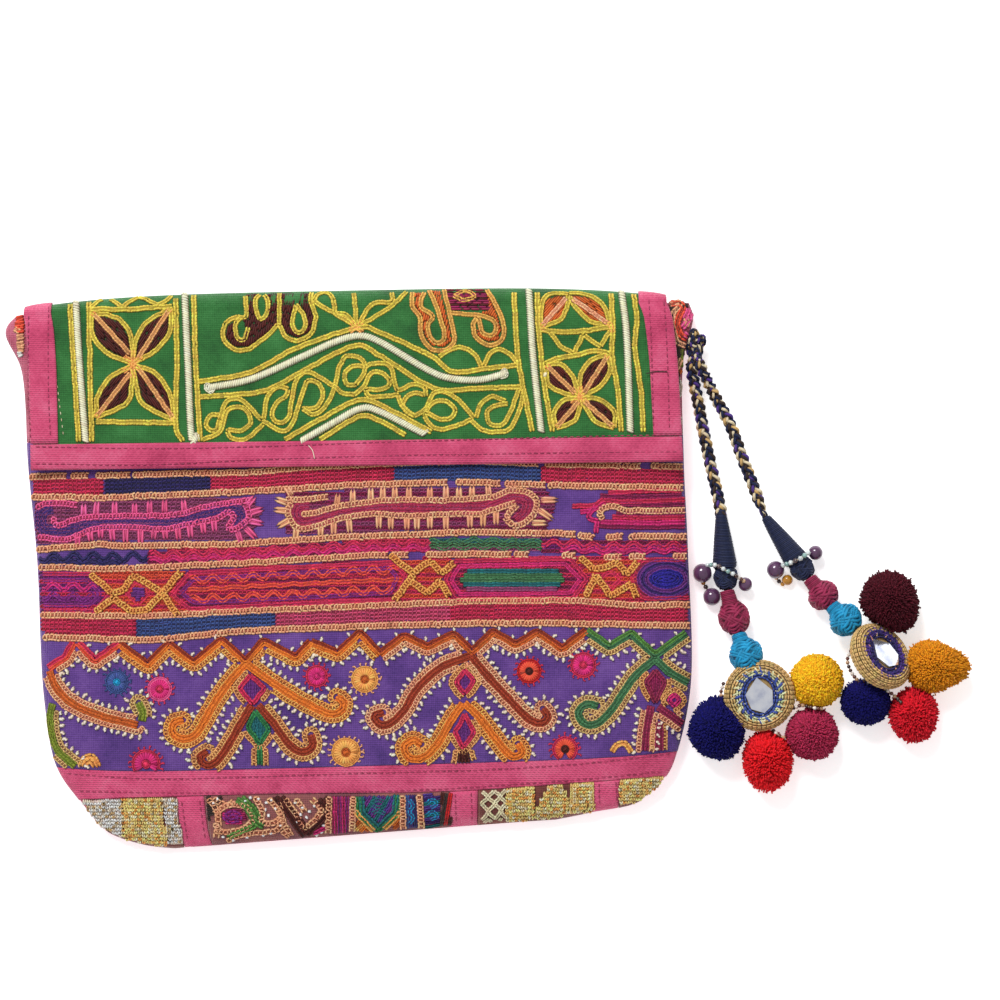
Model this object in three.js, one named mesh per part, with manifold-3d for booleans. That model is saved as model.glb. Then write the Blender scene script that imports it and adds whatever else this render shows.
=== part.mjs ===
// An embroidered envelope clutch that lies on its back, with two pompom tassels on braided cords.
// Millimetres, +Z up. X runs across the bag and Y from its foot to its fold. The origin is under
// the middle of the bag, on the surface that the bag lies on.

import * as THREE from "three";
import { mergeVertices } from "three/addons/utils/BufferGeometryUtils.js";
import Module from "manifold-3d";

const wasm = await Module();
wasm.setup();
const { lerp } = THREE.MathUtils;

// Driving dimensions: cloth

const GAP = 0.3; // clearance between two layers that are sewn together
const WALL = 2.0; // the pouch's padded cloth
const FLAP_CLOTH = 2.2; // the flap's padded cloth
const PATCH = 0.9; // an embroidered patch
const TAPE = 0.8; // the binding tape and the sashes

// Driving dimensions: the pouch

// Sections across the pouch from its mouth to its foot: both ends on the outline, and how high the front
// stands above the surface in the middle of the section.
const SECTIONS = [
  { name: "mouth", leftX: -143.4, leftY: 108.8, rightX: 146.8, rightY: 114.4, rise: 11 },
  { name: "ear", leftX: -148.6, leftY: 101.9, rightX: 148.6, rightY: 108.3, rise: 13 },
  { name: "neck", leftX: -141.7, leftY: 86.0, rightX: 144.3, rightY: 89.4, rise: 15.5 },
  { name: "hem", leftX: -138.3, leftY: 43.0, rightX: 144.3, rightY: 46.8, rise: 20 },
  { name: "middle", leftX: -134.4, leftY: 3.4, rightX: 146.0, rightY: 8.6, rise: 22 },
  { name: "low", leftX: -131.4, leftY: -56.8, rightX: 147.3, rightY: -50.3, rise: 21 },
  { name: "sashTop", leftX: -126.2, leftY: -85.6, rightX: 141.7, rightY: -78.7, rise: 18 },
  { name: "sashFoot", leftX: -116.8, leftY: -99.8, rightX: 137.4, rightY: -89.0, rise: 14.5 },
  { name: "corner", leftX: -106.4, leftY: -112.3, rightX: 126.2, rightY: -99.8, rise: 10.5 },
  { name: "base", leftX: -89.7, leftY: -118.7, rightX: 103.8, rightY: -105.0, rise: 7 },
  { name: "foot", leftX: -68.2, leftY: -120.9, rightX: 82.3, rightY: -109.3, rise: 4 },
];
const ROLL = 14; // how sharply the front turns down at the side seams
const CROWN = 0.35; // the share of the rise that is a soft crown
const SEAM = 0.35; // the side seam's height, as a share of the rise
const FLAT = 0.88; // the share of the back that lies flat
const LINING_INSET = 4; // from the side seam to the hollow
const HOLLOW_END = 0.77; // where the hollow ends, as a share of the way to the foot
const COLUMNS = 14; // facets across the front
const ROWS = 22; // facets from mouth to foot

// Driving dimensions: the flap

const FLAP = {
  topLeftX: -139.1, // at the fold
  topRightX: 135.8,
  hemLeftX: -135.4, // at the hem
  hemRightX: 142.7,
  edgeReach: 2.8, // how far the fold stands out beyond the mouth at its ends
  middleReach: 7.8, // and in the middle
  spread: 0.88, // the flap is stiffer than the pouch, and rolls over less at the sides
};
const TAPE_WIDTH = { left: 10.8, right: 11.0, hem: 9.2 };
const TAPE_TURN = 0.625; // how far round the fold the side tapes run, in half turns

// Driving dimensions: the row of patches along the foot

// Seams across the row from left to right, at the sash and at the foot. What follows a seam is named.
const BASE_ROW = [
  { piece: "base_patch_silver", topX: -113.4, footX: -104.0, cloth: PATCH },
  { piece: "base_strip_left", topX: -74.2, footX: -71.2, cloth: TAPE },
  { piece: "base_patch_stitched", topX: -62.4, footX: -59.2, cloth: PATCH },
  { piece: "base_strip_middle", topX: 43.2, footX: 43.4, cloth: TAPE },
  { piece: "base_patch_gold", topX: 55.6, footX: 55.2, cloth: PATCH },
  { piece: "base_strip_right", topX: 105.0, footX: 104.6, cloth: TAPE },
  { piece: "base_patch_corner", topX: 117.0, footX: 116.0, cloth: PATCH },
  { piece: null, topX: 134.4, footX: 125.4, cloth: 0 },
];
const BASE_FOOT = 0.955; // where the row ends, as a share of the way to the foot

// Driving dimensions: the tassels

const CORD_DIAMETER = 5.8;
const CORD_SIDES = 8;
const NEAR_CORD = [
  [147.6, 88.2, 6.4], [148.2, 84.0, 5.6], [149.0, 79.8, 4.8], [149.9, 75.6, 4.2], [150.8, 71.4, 3.7],
  [151.6, 67.2, 3.4], [152.3, 63.0, 3.2], [153.1, 58.8, 3.1], [154.0, 54.6, 3.1], [154.9, 50.4, 3.1],
  [155.8, 46.2, 3.1], [156.7, 42.0, 3.1], [157.7, 37.8, 3.1], [158.7, 33.6, 3.1], [159.6, 29.4, 3.2],
  [160.4, 25.4, 3.3],
];
const FAR_CORD = [
  [150.6, 88.8, 12.6], [152.5, 84.8, 10.8], [154.6, 80.6, 8.2], [156.8, 76.4, 5.8], [159.0, 72.2, 4.3],
  [161.3, 68.2, 3.5], [163.7, 63.8, 3.2], [165.8, 59.0, 3.1], [167.5, 54.2, 3.1], [169.2, 49.4, 3.1],
  [171.0, 44.6, 3.1], [172.9, 39.8, 3.1], [174.8, 35.0, 3.1], [176.6, 30.2, 3.1], [178.3, 25.6, 3.2],
  [179.4, 22.8, 3.3],
];
const KNOT = { x: 150.4, y: 97.2, z: 7.4, radius: 3.4, wire: 1.15, tubeSides: 6, steps: 36, lean: 0.5 };

// Profiles of the wound pieces: how far along the axis, as a share, and the radius there.
const CONE_PROFILE = [
  { along: 0, radius: 2.6 }, { along: 0.68, radius: 5.4 }, { along: 0.75, radius: 4.9 },
  { along: 0.85, radius: 5.3 }, { along: 0.95, radius: 4.2 }, { along: 1, radius: 2.8 },
];
const ROSE_PROFILE = [
  { along: 0, radius: 2.8 }, { along: 0.26, radius: 3.2 }, { along: 0.36, radius: 4.8 },
  { along: 0.5, radius: 6.3 }, { along: 0.66, radius: 6.6 }, { along: 0.82, radius: 5.6 },
  { along: 0.94, radius: 3.8 }, { along: 1, radius: 2.6 },
];
const SKY_PROFILE = [
  { along: 0, radius: 3.0 }, { along: 0.18, radius: 3.3 }, { along: 0.28, radius: 5.2 },
  { along: 0.42, radius: 6.9 }, { along: 0.58, radius: 7.2 }, { along: 0.76, radius: 6.2 },
  { along: 0.92, radius: 4.0 }, { along: 1, radius: 2.4 },
];
const WOUND_SIDES = 12;
const END_GAP = 0.45; // from a wound piece's end to the joint with the next

// Profile of the stuffed medallion about its own axis, from its back to its face.
const MEDALLION_PROFILE = [
  { radius: 0, height: -3.6 }, { radius: 10.5, height: -3.8 }, { radius: 13.8, height: -3.0 },
  { radius: 15.6, height: -0.8 }, { radius: 15.6, height: 1.0 }, { radius: 14.0, height: 3.0 },
  { radius: 11.6, height: 3.8 }, { radius: 9.8, height: 3.2 }, { radius: 9.0, height: 2.4 },
  { radius: 0, height: 2.4 },
];
const MEDALLION_SIDES = 24;
const MIRROR = { thickness: 0.9, seat: 2.7 };
const MIRROR_OUTLINE = [
  { x: -0.6, y: 8.0 }, { x: 5.6, y: 1.8 }, { x: 5.2, y: -4.4 }, { x: 1.2, y: -7.6 },
  { x: -4.2, y: -5.4 }, { x: -6.2, y: 1.0 },
];

// Each tassel: the points where its wound pieces meet, its medallion, its beads and its pompoms.
// A pompom's tail stretches it along +X, as a share of its radius.
const TASSELS = [
  {
    name: "near",
    cord: NEAR_CORD,
    joints: [[160.5, 24.9, 3.3], [163.0, -9.8, 6.8], [168.0, -28.7, 8.6], [173.6, -44.4, 13.6]],
    medallion: { x: 176.9, y: -55.0, z: 13.6, tilt: 0, towards: 0, mirrorTurn: 0.1 },
    beads: [
      { name: "left", x: 152.6, y: -2.4, z: 4.3, radius: 4.2 },
      { name: "low", x: 156.7, y: -12.6, z: 4.0, radius: 3.9 },
      { name: "right", x: 171.1, y: -7.2, z: 5.6, radius: 3.1 },
    ],
    pompoms: [
      { name: "navy", x: 158.5, y: -71.2, radiusX: 12.7, radiusY: 13.6, radiusZ: 12.4, tail: 0 },
      { name: "red", x: 180.4, y: -83.4, radiusX: 10.6, radiusY: 12.7, radiusZ: 11.2, tail: 0 },
      { name: "plum", x: 199.6, y: -72.1, radiusX: 11.7, radiusY: 11.5, radiusZ: 11.5, tail: 0 },
      { name: "yellow", x: 201.9, y: -48.7, radiusX: 11.9, radiusY: 11.9, radiusZ: 11.8, tail: 0 },
    ],
  },
  {
    name: "far",
    cord: FAR_CORD,
    joints: [[179.9, 21.7, 3.3], [198.6, -4.6, 6.8], [208.2, -16.4, 8.6], [218.6, -27.2, 13.0]],
    medallion: { x: 229.0, y: -38.0, z: 15.4, tilt: 0.82, towards: 0.7, mirrorTurn: 0.7 },
    beads: [
      { name: "left", x: 184.2, y: -1.0, z: 4.0, radius: 3.9 },
      { name: "low", x: 189.4, y: -5.4, z: 2.6, radius: 2.4 },
      { name: "right", x: 201.4, y: 6.4, z: 5.2, radius: 3.2 },
    ],
    pompoms: [
      { name: "maroon", x: 232.2, y: -14.1, radiusX: 12.4, radiusY: 12.8, radiusZ: 12.0, tail: 0 },
      { name: "ochre", x: 251.2, y: -42.9, radiusX: 12.2, radiusY: 11.6, radiusZ: 11.2, tail: 0.5 },
      { name: "navy", x: 222.8, y: -58.2, radiusX: 11.2, radiusY: 10.2, radiusZ: 10.6, tail: 0 },
      { name: "red", x: 243.4, y: -63.6, radiusX: 10.7, radiusY: 10.9, radiusZ: 10.4, tail: 0 },
    ],
  },
];
const LOCK_DETAIL = 1; // how finely a pompom's ball is parted into locks
const LOCK_VALLEY = 0.86; // the depth between two locks, as a share of the radius
const TAIL_NARROWS = 0.32;
const SEAT = 0.946; // the height of a pompom's middle over the surface, as a share of its radius

// Colours

const CLOTH_ROUGHNESS = 0.9;
const COLOURS = {
  pink: 0xcd4a72, green: 0x257a4e, purple: 0x67408f, madder: 0xa8393f, silver: 0xc9c2b4,
  stitched: 0x9c5a3c, gold: 0xb9a04a, braid: 0x4a4350, navy: 0x1c2b4a, amethyst: 0x6d5375,
  rose: 0x9c2050, sky: 0x1b94c4, straw: 0xcfae72, mirror: 0xdfe3ee, red: 0xd3161f,
  plum: 0x8e2048, yellow: 0xf0ab0c, maroon: 0x4b0c18, ochre: 0xd08a06,
};

function finish(colour, roughness = CLOTH_ROUGHNESS, metalness = 0) {
  return new THREE.MeshStandardMaterial({ color: COLOURS[colour], roughness, metalness });
}

// Shared makers

function named(name, geometry, material) {
  const mesh = new THREE.Mesh(geometry, material);
  mesh.name = name;
  return mesh;
}

function shares(count, from = 0, to = 1) {
  return Array.from({ length: count + 1 }, (_, i) => from + ((to - from) * i) / count);
}

// A closed body through rings of points that all have the same count, capped at both ends.
function loft(rings) {
  const count = rings[0].length;
  const index = [];
  for (let row = 0; row + 1 < rings.length; row++) {
    for (let i = 0; i < count; i++) {
      const a = row * count + i;
      const b = row * count + ((i + 1) % count);
      index.push(a, b, b + count, a, b + count, a + count);
    }
  }
  const cap = (first, turned) => {
    let low = 0;
    let high = count - 1;
    while (low + 1 < high) {
      const triangle = [first + low + 1, first + low, first + high];
      index.push(...(turned ? triangle.reverse() : triangle));
      low += 1;
      if (low + 1 < high) {
        const other = [first + low, first + high, first + high - 1];
        index.push(...(turned ? other.reverse() : other));
        high -= 1;
      }
    }
  };
  cap(0, false);
  cap((rings.length - 1) * count, true);
  const geometry = new THREE.BufferGeometry();
  const points = rings.flat().flatMap((p) => [p.x, p.y, p.z]);
  geometry.setAttribute("position", new THREE.Float32BufferAttribute(points, 3));
  geometry.setIndex(index);
  return facingOut(geometry);
}

// Turns a closed surface round where its faces point inwards.
function facingOut(geometry) {
  const index = geometry.index.array;
  const [a, b, c] = [new THREE.Vector3(), new THREE.Vector3(), new THREE.Vector3()];
  const position = geometry.attributes.position;
  let volume = 0;
  for (let i = 0; i < index.length; i += 3) {
    a.fromBufferAttribute(position, index[i]);
    b.fromBufferAttribute(position, index[i + 1]);
    c.fromBufferAttribute(position, index[i + 2]);
    volume += a.dot(b.cross(c));
  }
  if (volume < 0) geometry.setIndex(Array.from(index).reverse());
  return geometry;
}

// A geometry as a solid for joining and cutting, moved by a matrix.
function solidOf(geometry, matrix = new THREE.Matrix4()) {
  const bare = geometry.clone();
  bare.deleteAttribute("normal");
  bare.deleteAttribute("uv");
  bare.applyMatrix4(matrix);
  const merged = mergeVertices(bare, 1e-4);
  return new wasm.Manifold(
    new wasm.Mesh({
      numProp: 3,
      vertProperties: new Float32Array(merged.attributes.position.array),
      triVerts: new Uint32Array(merged.index.array),
    }),
  );
}

function geometryOf(solid) {
  const mesh = solid.getMesh();
  const geometry = new THREE.BufferGeometry();
  geometry.setAttribute("position", new THREE.Float32BufferAttribute(mesh.vertProperties, 3));
  geometry.setIndex(Array.from(mesh.triVerts));
  return geometry;
}

// The pouch's surfaces

const sectionCurve = (side) =>
  new THREE.CatmullRomCurve3(
    SECTIONS.map((s) => new THREE.Vector3(s[side + "X"], s[side + "Y"], s.rise)),
  );
const LEFT_EDGE = sectionCurve("left");
const RIGHT_EDGE = sectionCurve("right");

// The share of the way from mouth to foot where a named section lies.
function at(name) {
  return SECTIONS.findIndex((s) => s.name === name) / (SECTIONS.length - 1);
}

function section(t) {
  const left = LEFT_EDGE.getPoint(t);
  const right = RIGHT_EDGE.getPoint(t);
  return { left, right, rise: left.z, middle: (left.x + right.x) / 2, half: (right.x - left.x) / 2 };
}

// u runs from -1 at the left seam to 1 at the right seam, and t from 0 at the mouth to 1 at the foot.
function placeOn(cut, u, inset = 0) {
  const x = cut.middle + (cut.half - inset) * u;
  const across = (x - cut.left.x) / (2 * cut.half);
  return new THREE.Vector3(x, lerp(cut.left.y, cut.right.y, across), 0);
}

function swell(u) {
  return (1 - CROWN) * Math.sqrt(1 - Math.abs(u) ** ROLL) + CROWN * (1 - u * u);
}

function lifted(u) {
  return Math.max(0, (Math.abs(u) - FLAT) / (1 - FLAT)) ** 2;
}

function frontPoint(u, t) {
  const cut = section(t);
  const point = placeOn(cut, u);
  point.z = cut.rise * (SEAM + (1 - SEAM) * swell(u));
  return point;
}

function backPoint(u, t) {
  const cut = section(t);
  const point = placeOn(cut, u);
  point.z = cut.rise * SEAM * lifted(u);
  return point;
}

function hollowPoint(u, t, swelling) {
  const cut = section(t);
  const point = placeOn(cut, u, LINING_INSET);
  const room = cut.rise - 2 * WALL;
  point.z = WALL + room * swelling(u);
  return point;
}
const hollowFront = (u, t) => hollowPoint(u, t, (v) => SEAM + (1 - SEAM) * swell(v));
const hollowBack = (u, t) => hollowPoint(u, t, (v) => SEAM * lifted(v));

// The front, raised along its own normal.
function raisedFront(u, t, height) {
  const step = 1e-3;
  const along = frontPoint(u, t + step).sub(frontPoint(u, t - step));
  const across = frontPoint(u + step, t).sub(frontPoint(u - step, t));
  const normal = along.cross(across).normalize();
  return frontPoint(u, t).addScaledVector(normal, height);
}

// The t that lies a distance further towards the foot.
function downBy(t, distance) {
  const step = 1e-3;
  return t + (distance * 2 * step) / frontPoint(0, t + step).distanceTo(frontPoint(0, t - step));
}

// The front's own grid of facets, which all cloth on it shares.
const GRID_U = shares(COLUMNS, -1, 1).map((s) => Math.sin((s * Math.PI) / 2));
const CLOTH_U = GRID_U.slice(1, -1);
const EDGE = CLOTH_U.at(-1);
const rowsBetween = (tTop, tFoot) => {
  const inside = shares(ROWS).filter((t) => t > tTop + 0.5 / ROWS && t < tFoot - 0.5 / ROWS);
  return [tTop, ...inside, tFoot];
};

function pouch() {
  const hollowRows = 14;
  const ring = (front, back, t) => [
    ...GRID_U.map((u) => front(u, t)),
    ...CLOTH_U.toReversed().map((u) => back(u, t)),
  ];
  const outer = shares(ROWS, 1, 0).map((t) => ring(frontPoint, backPoint, t));
  const hollow = shares(hollowRows, 0, HOLLOW_END).map((t) => ring(hollowFront, hollowBack, t));
  return named("pouch", loft([...outer, ...hollow]), finish("pink"));
}

// A piece of cloth sewn on the front: rows of places on it, each a u and a t.
function frontCloth(name, cloth, rows, material) {
  const rings = rows.map((row) => [
    ...row.map(({ u, t }) => raisedFront(u, t, GAP + cloth)),
    ...row.toReversed().map(({ u, t }) => raisedFront(u, t, GAP)),
  ]);
  return named(name, loft(rings), material);
}

function frontCloths() {
  const hidden = 10; // how far the front patch runs up under the flap
  const join = downBy(at("hem"), -hidden);
  const wide = (name, cloth, tTop, tFoot, material) => {
    const rows = rowsBetween(tTop, tFoot).map((t) => CLOTH_U.map((u) => ({ u, t })));
    return frontCloth(name, cloth, rows, material);
  };
  return [
    wide("upper_patch", PATCH, 0.01, downBy(join, -GAP), finish("madder")),
    wide("front_patch", PATCH, join, downBy(at("sashTop"), -GAP), finish("purple")),
    wide("sash", TAPE, at("sashTop"), at("sashFoot"), finish("pink")),
    ...baseRow(),
  ];
}

function acrossOf(x, t) {
  const cut = section(t);
  return (x - cut.middle) / cut.half;
}

// The lowest t of the row at an x: on the foot line, or where the outline turns up to the side.
function rowEnd(x) {
  const step = 0.002;
  let t = BASE_FOOT;
  while (Math.abs(acrossOf(x, t)) > EDGE) t -= step;
  return t;
}

function baseRow() {
  const top = downBy(at("sashFoot"), GAP);
  const columnWidth = 8;
  const downCount = 6;
  const metal = { base_patch_silver: "silver", base_patch_gold: "gold", base_patch_corner: "gold" };
  return BASE_ROW.slice(0, -1).map((seam, i) => {
    const next = BASE_ROW[i + 1];
    const columns = Math.max(2, Math.round((next.topX - seam.topX) / columnWidth));
    const place = (share, down) => {
      const topX = lerp(seam.topX + GAP / 2, next.topX - GAP / 2, share);
      const footX = lerp(seam.footX + GAP / 2, next.footX - GAP / 2, share);
      const t = lerp(top, rowEnd(footX), down);
      return { u: acrossOf(lerp(topX, footX, down), t), t };
    };
    const rows = shares(downCount).map((down) => shares(columns).map((share) => place(share, down)));
    const colour = metal[seam.piece] ?? (seam.cloth === TAPE ? "pink" : "stitched");
    return frontCloth(seam.piece, seam.cloth, rows, finish(colour));
  });
}

// The flap's surfaces

const UNDER_FLAP = PATCH + 2 * GAP;

function foldReach(a) {
  const away = (2 * a - 1) ** 4;
  return lerp(FLAP.middleReach, FLAP.edgeReach, away);
}

// a runs from 0 at the flap's left edge to 1 at its right one. s runs from -1 at the root on the back,
// through 0 where the fold meets the front, to 1 at the hem. height is measured from the outer face.
function flapPoint(a, s, height) {
  const t = Math.max(0, s) * at("hem");
  const share = t / at("hem");
  const cut = section(t);
  const left = lerp(FLAP.topLeftX, FLAP.hemLeftX, share);
  const right = lerp(FLAP.topRightX, FLAP.hemRightX, share);
  const u = (lerp(left, right, a) - cut.middle) / cut.half;
  const point = placeOn(cut, u);
  point.y += GAP * (1 - share);
  const top = cut.rise * (SEAM + (1 - SEAM) * swell(FLAP.spread * u)) + UNDER_FLAP + FLAP_CLOTH;
  if (s >= 0) {
    point.z = top + height;
    return point;
  }
  const turn = -s * Math.PI;
  const middle = top / 2;
  point.y += (foldReach(a) + height) * Math.sin(turn);
  point.z = middle + (middle + height) * Math.cos(turn);
  return point;
}

// The flap's own grid of facets, which its tapes share.
const FLAP_WIDTH = FLAP.topRightX - FLAP.topLeftX;
const FLAP_S = [...shares(8, -1, 0), ...shares(7, 0, 1).slice(1)];
const FLAP_A = [
  0,
  TAPE_WIDTH.left / 2 / FLAP_WIDTH,
  ...shares(11, TAPE_WIDTH.left / FLAP_WIDTH, 1 - TAPE_WIDTH.right / FLAP_WIDTH),
  1 - TAPE_WIDTH.right / 2 / FLAP_WIDTH,
  1,
];

// The s that lies a distance above the hem.
function aboveHem(distance) {
  return downBy(at("hem"), -distance) / at("hem");
}

function flap() {
  const rings = FLAP_S.map((s) => [
    ...FLAP_A.map((a) => flapPoint(a, s, 0)),
    ...FLAP_A.toReversed().map((a) => flapPoint(a, s, -FLAP_CLOTH)),
  ]);
  return named("flap", loft(rings), finish("green"));
}

// A tape along the flap's side: it lies on the outer face and turns round the edge.
// edge is 0 at the left or 1 at the right. The profile is given inwards from the edge.
function sideTape(name, edge, width) {
  const inward = edge === 0 ? 1 : -1;
  const across = (distance) => edge + (inward * distance) / FLAP_WIDTH;
  const corners = [
    { distance: width, height: GAP },
    { distance: width, height: GAP + TAPE },
    { distance: width / 2, height: GAP + TAPE },
    { distance: 0, height: GAP + TAPE },
    { distance: -GAP - TAPE, height: GAP + TAPE },
    { distance: -GAP - TAPE, height: -FLAP_CLOTH },
    { distance: -GAP, height: -FLAP_CLOTH },
    { distance: -GAP, height: GAP },
    { distance: 0, height: GAP },
    { distance: width / 2, height: GAP },
  ];
  const end = aboveHem(TAPE_WIDTH.hem + GAP);
  const along = [...FLAP_S.filter((s) => s >= -TAPE_TURN && s < end - 0.02), end];
  const rings = along.map((s) => corners.map((c) => flapPoint(across(c.distance), s, c.height)));
  return named(name, loft(rings), finish("pink"));
}

function hemTape() {
  const corners = [
    { distance: TAPE_WIDTH.hem, height: GAP },
    { distance: TAPE_WIDTH.hem, height: GAP + TAPE },
    { distance: -GAP - TAPE, height: GAP + TAPE },
    { distance: -GAP - TAPE, height: -FLAP_CLOTH },
    { distance: -GAP, height: -FLAP_CLOTH },
    { distance: -GAP, height: GAP },
  ];
  const overhang = (GAP + TAPE) / (FLAP.hemRightX - FLAP.hemLeftX);
  const rings = shares(24, -overhang, 1 + overhang).map((a) =>
    corners.map((c) => flapPoint(a, aboveHem(c.distance), c.height)),
  );
  return named("flap_binding_hem", loft(rings), finish("pink"));
}

// The cords

function tube(points, diameter, sides, steps) {
  const corner = (i) => {
    const turn = (2 * Math.PI * i) / sides;
    return new THREE.Vector2(Math.cos(turn), Math.sin(turn)).multiplyScalar(diameter / 2);
  };
  const outline = new THREE.Shape(Array.from({ length: sides }, (_, i) => corner(i)));
  const route = new THREE.CatmullRomCurve3(points.map((p) => new THREE.Vector3(...p)));
  return new THREE.ExtrudeGeometry(outline, { steps, bevelEnabled: false, extrudePath: route });
}

// The braid's own overhand knot, which holds both cords at the pouch's ear.
function cordKnot() {
  const geometry = new THREE.TorusKnotGeometry(KNOT.radius, KNOT.wire, KNOT.steps, KNOT.tubeSides, 2, 3);
  const mesh = named("cord_knot", geometry, finish("braid"));
  mesh.position.set(KNOT.x, KNOT.y, KNOT.z);
  mesh.rotation.set(KNOT.lean, KNOT.lean, 0);
  return mesh;
}

// The wound pieces

// A turned piece whose axis runs from one point to another, short of both.
function turned(profile, from, to, grow = 0) {
  const start = new THREE.Vector3(...from);
  const axis = new THREE.Vector3(...to).sub(start);
  const length = axis.length();
  axis.normalize();
  const short = END_GAP - grow;
  const inner = profile.map(
    (p) => new THREE.Vector2(p.radius + grow, short + p.along * (length - 2 * short)),
  );
  const outline = [new THREE.Vector2(0, inner[0].y), ...inner, new THREE.Vector2(0, inner.at(-1).y)];
  const geometry = new THREE.LatheGeometry(outline, WOUND_SIDES);
  const turn = new THREE.Quaternion().setFromUnitVectors(new THREE.Vector3(0, 1, 0), axis);
  return geometry.applyQuaternion(turn).translate(start.x, start.y, start.z);
}

function medallionMatrix(seat) {
  const towards = new THREE.Vector3(Math.cos(seat.towards), Math.sin(seat.towards), 0);
  const hinge = new THREE.Vector3(0, 0, 1).cross(towards);
  const upright = new THREE.Matrix4().makeRotationX(Math.PI / 2);
  const lean = new THREE.Matrix4().makeRotationAxis(hinge, seat.tilt);
  return new THREE.Matrix4().makeTranslation(seat.x, seat.y, seat.z).multiply(lean).multiply(upright);
}

function medallionSolid(seat, grow = 0) {
  const outline = MEDALLION_PROFILE.map((p) => {
    const radius = p.radius === 0 ? 0 : p.radius + grow;
    return new THREE.Vector2(radius, p.height + Math.sign(p.height) * grow);
  });
  return solidOf(new THREE.LatheGeometry(outline, MEDALLION_SIDES), medallionMatrix(seat));
}

function mirror(name, seat) {
  const outline = new THREE.Shape(MIRROR_OUTLINE.map((p) => new THREE.Vector2(p.x, p.y)));
  const geometry = new THREE.ExtrudeGeometry(outline, { depth: MIRROR.thickness, bevelEnabled: false });
  geometry.rotateZ(seat.mirrorTurn).translate(0, 0, MIRROR.seat).rotateX(-Math.PI / 2);
  geometry.applyMatrix4(medallionMatrix(seat));
  return named(name, geometry, finish("mirror", 0.05, 1));
}

// A ball of yarn: locks that stand on a head, one on each facet.
function pompomGeometry(pompom, grow = 0) {
  const facets = new THREE.IcosahedronGeometry(1, LOCK_DETAIL).attributes.position;
  const points = [];
  const stretched = (v, share) => {
    const tail = v.x > 0 ? pompom.tail * v.x * v.x : 0;
    const narrow = v.x > 0 && pompom.tail > 0 ? 1 - TAIL_NARROWS * v.x : 1;
    return [
      pompom.x + (pompom.radiusX * (1 + tail) + grow) * v.x * share,
      pompom.y + (pompom.radiusY * narrow + grow) * v.y * share,
      pompom.radiusZ * SEAT + (pompom.radiusZ * narrow + grow) * v.z * share,
    ];
  };
  for (let i = 0; i < facets.count; i += 3) {
    const corners = [0, 1, 2].map((k) => new THREE.Vector3().fromBufferAttribute(facets, i + k));
    const tip = corners[0].clone().add(corners[1]).add(corners[2]).normalize();
    corners.forEach((corner, k) => {
      const next = corners[(k + 1) % 3];
      points.push(...stretched(corner, LOCK_VALLEY), ...stretched(next, LOCK_VALLEY), ...stretched(tip, 1));
    });
  }
  const geometry = new THREE.BufferGeometry();
  return geometry.setAttribute("position", new THREE.Float32BufferAttribute(points, 3));
}

function bead(name, b, colour) {
  const geometry = new THREE.SphereGeometry(b.radius, 10, 7);
  const mesh = named(name, geometry, finish(colour, 0.3));
  mesh.position.set(b.x, b.y, b.z);
  return mesh;
}

function tassel(row) {
  const name = (piece) => `${row.name}_${piece}`;
  const [top, waist, neck, end] = row.joints;
  const group = new THREE.Group();
  const cordSteps = 20;
  group.add(named(name("cord"), tube(row.cord, CORD_DIAMETER, CORD_SIDES, cordSteps), finish("braid")));
  group.add(named(name("cone"), turned(CONE_PROFILE, top, waist), finish("navy")));
  group.add(named(name("rose_knot"), turned(ROSE_PROFILE, waist, neck), finish("rose")));
  group.add(named(name("sky_knot"), turned(SKY_PROFILE, neck, end), finish("sky")));
  row.beads.forEach((b) => group.add(bead(name(`bead_${b.name}`), b, "amethyst")));

  const knotSpace = solidOf(turned(SKY_PROFILE, neck, end, GAP));
  const stuffed = medallionSolid(row.medallion).subtract(knotSpace);
  group.add(named(name("medallion"), geometryOf(stuffed), finish("straw")));
  group.add(mirror(name("mirror"), row.medallion));

  const medallionSpace = medallionSolid(row.medallion, GAP);
  for (const pompom of row.pompoms) {
    const yarn = solidOf(pompomGeometry(pompom)).subtract(medallionSpace).subtract(knotSpace);
    group.add(named(name(`pompom_${pompom.name}`), geometryOf(yarn), finish(pompom.name)));
  }
  return group;
}

// The whole clutch

const clutch = new THREE.Group();
clutch.add(pouch(), ...frontCloths(), flap());
clutch.add(sideTape("flap_binding_left", 0, TAPE_WIDTH.left));
clutch.add(sideTape("flap_binding_right", 1, TAPE_WIDTH.right));
clutch.add(hemTape(), cordKnot(), ...TASSELS.map(tassel));

export default clutch;
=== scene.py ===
"""Looks of an embroidered envelope clutch that lies on its back, its two pompom tassels beside it.

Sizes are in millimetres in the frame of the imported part, and meshes are made in metres.
"""

import logging
import math
from collections.abc import Iterator, Sequence
from dataclasses import dataclass, field
from enum import Enum

import bpy
import numpy as np
from mathutils import Matrix, Vector


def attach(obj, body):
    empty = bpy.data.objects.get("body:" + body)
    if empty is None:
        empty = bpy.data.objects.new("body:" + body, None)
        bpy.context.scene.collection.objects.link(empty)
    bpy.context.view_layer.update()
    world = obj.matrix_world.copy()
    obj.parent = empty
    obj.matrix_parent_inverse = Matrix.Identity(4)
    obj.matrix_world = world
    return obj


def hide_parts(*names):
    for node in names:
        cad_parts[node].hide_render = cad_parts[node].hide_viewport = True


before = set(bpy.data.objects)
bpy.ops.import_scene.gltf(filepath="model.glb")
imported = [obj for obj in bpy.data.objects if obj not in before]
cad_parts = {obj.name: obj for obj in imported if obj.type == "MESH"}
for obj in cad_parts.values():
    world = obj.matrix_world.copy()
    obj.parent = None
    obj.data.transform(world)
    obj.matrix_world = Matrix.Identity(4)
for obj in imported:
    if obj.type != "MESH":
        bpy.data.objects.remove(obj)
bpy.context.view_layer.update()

LOG = logging.getLogger("clutch")
MM = 0.001
SEED = 54
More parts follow.
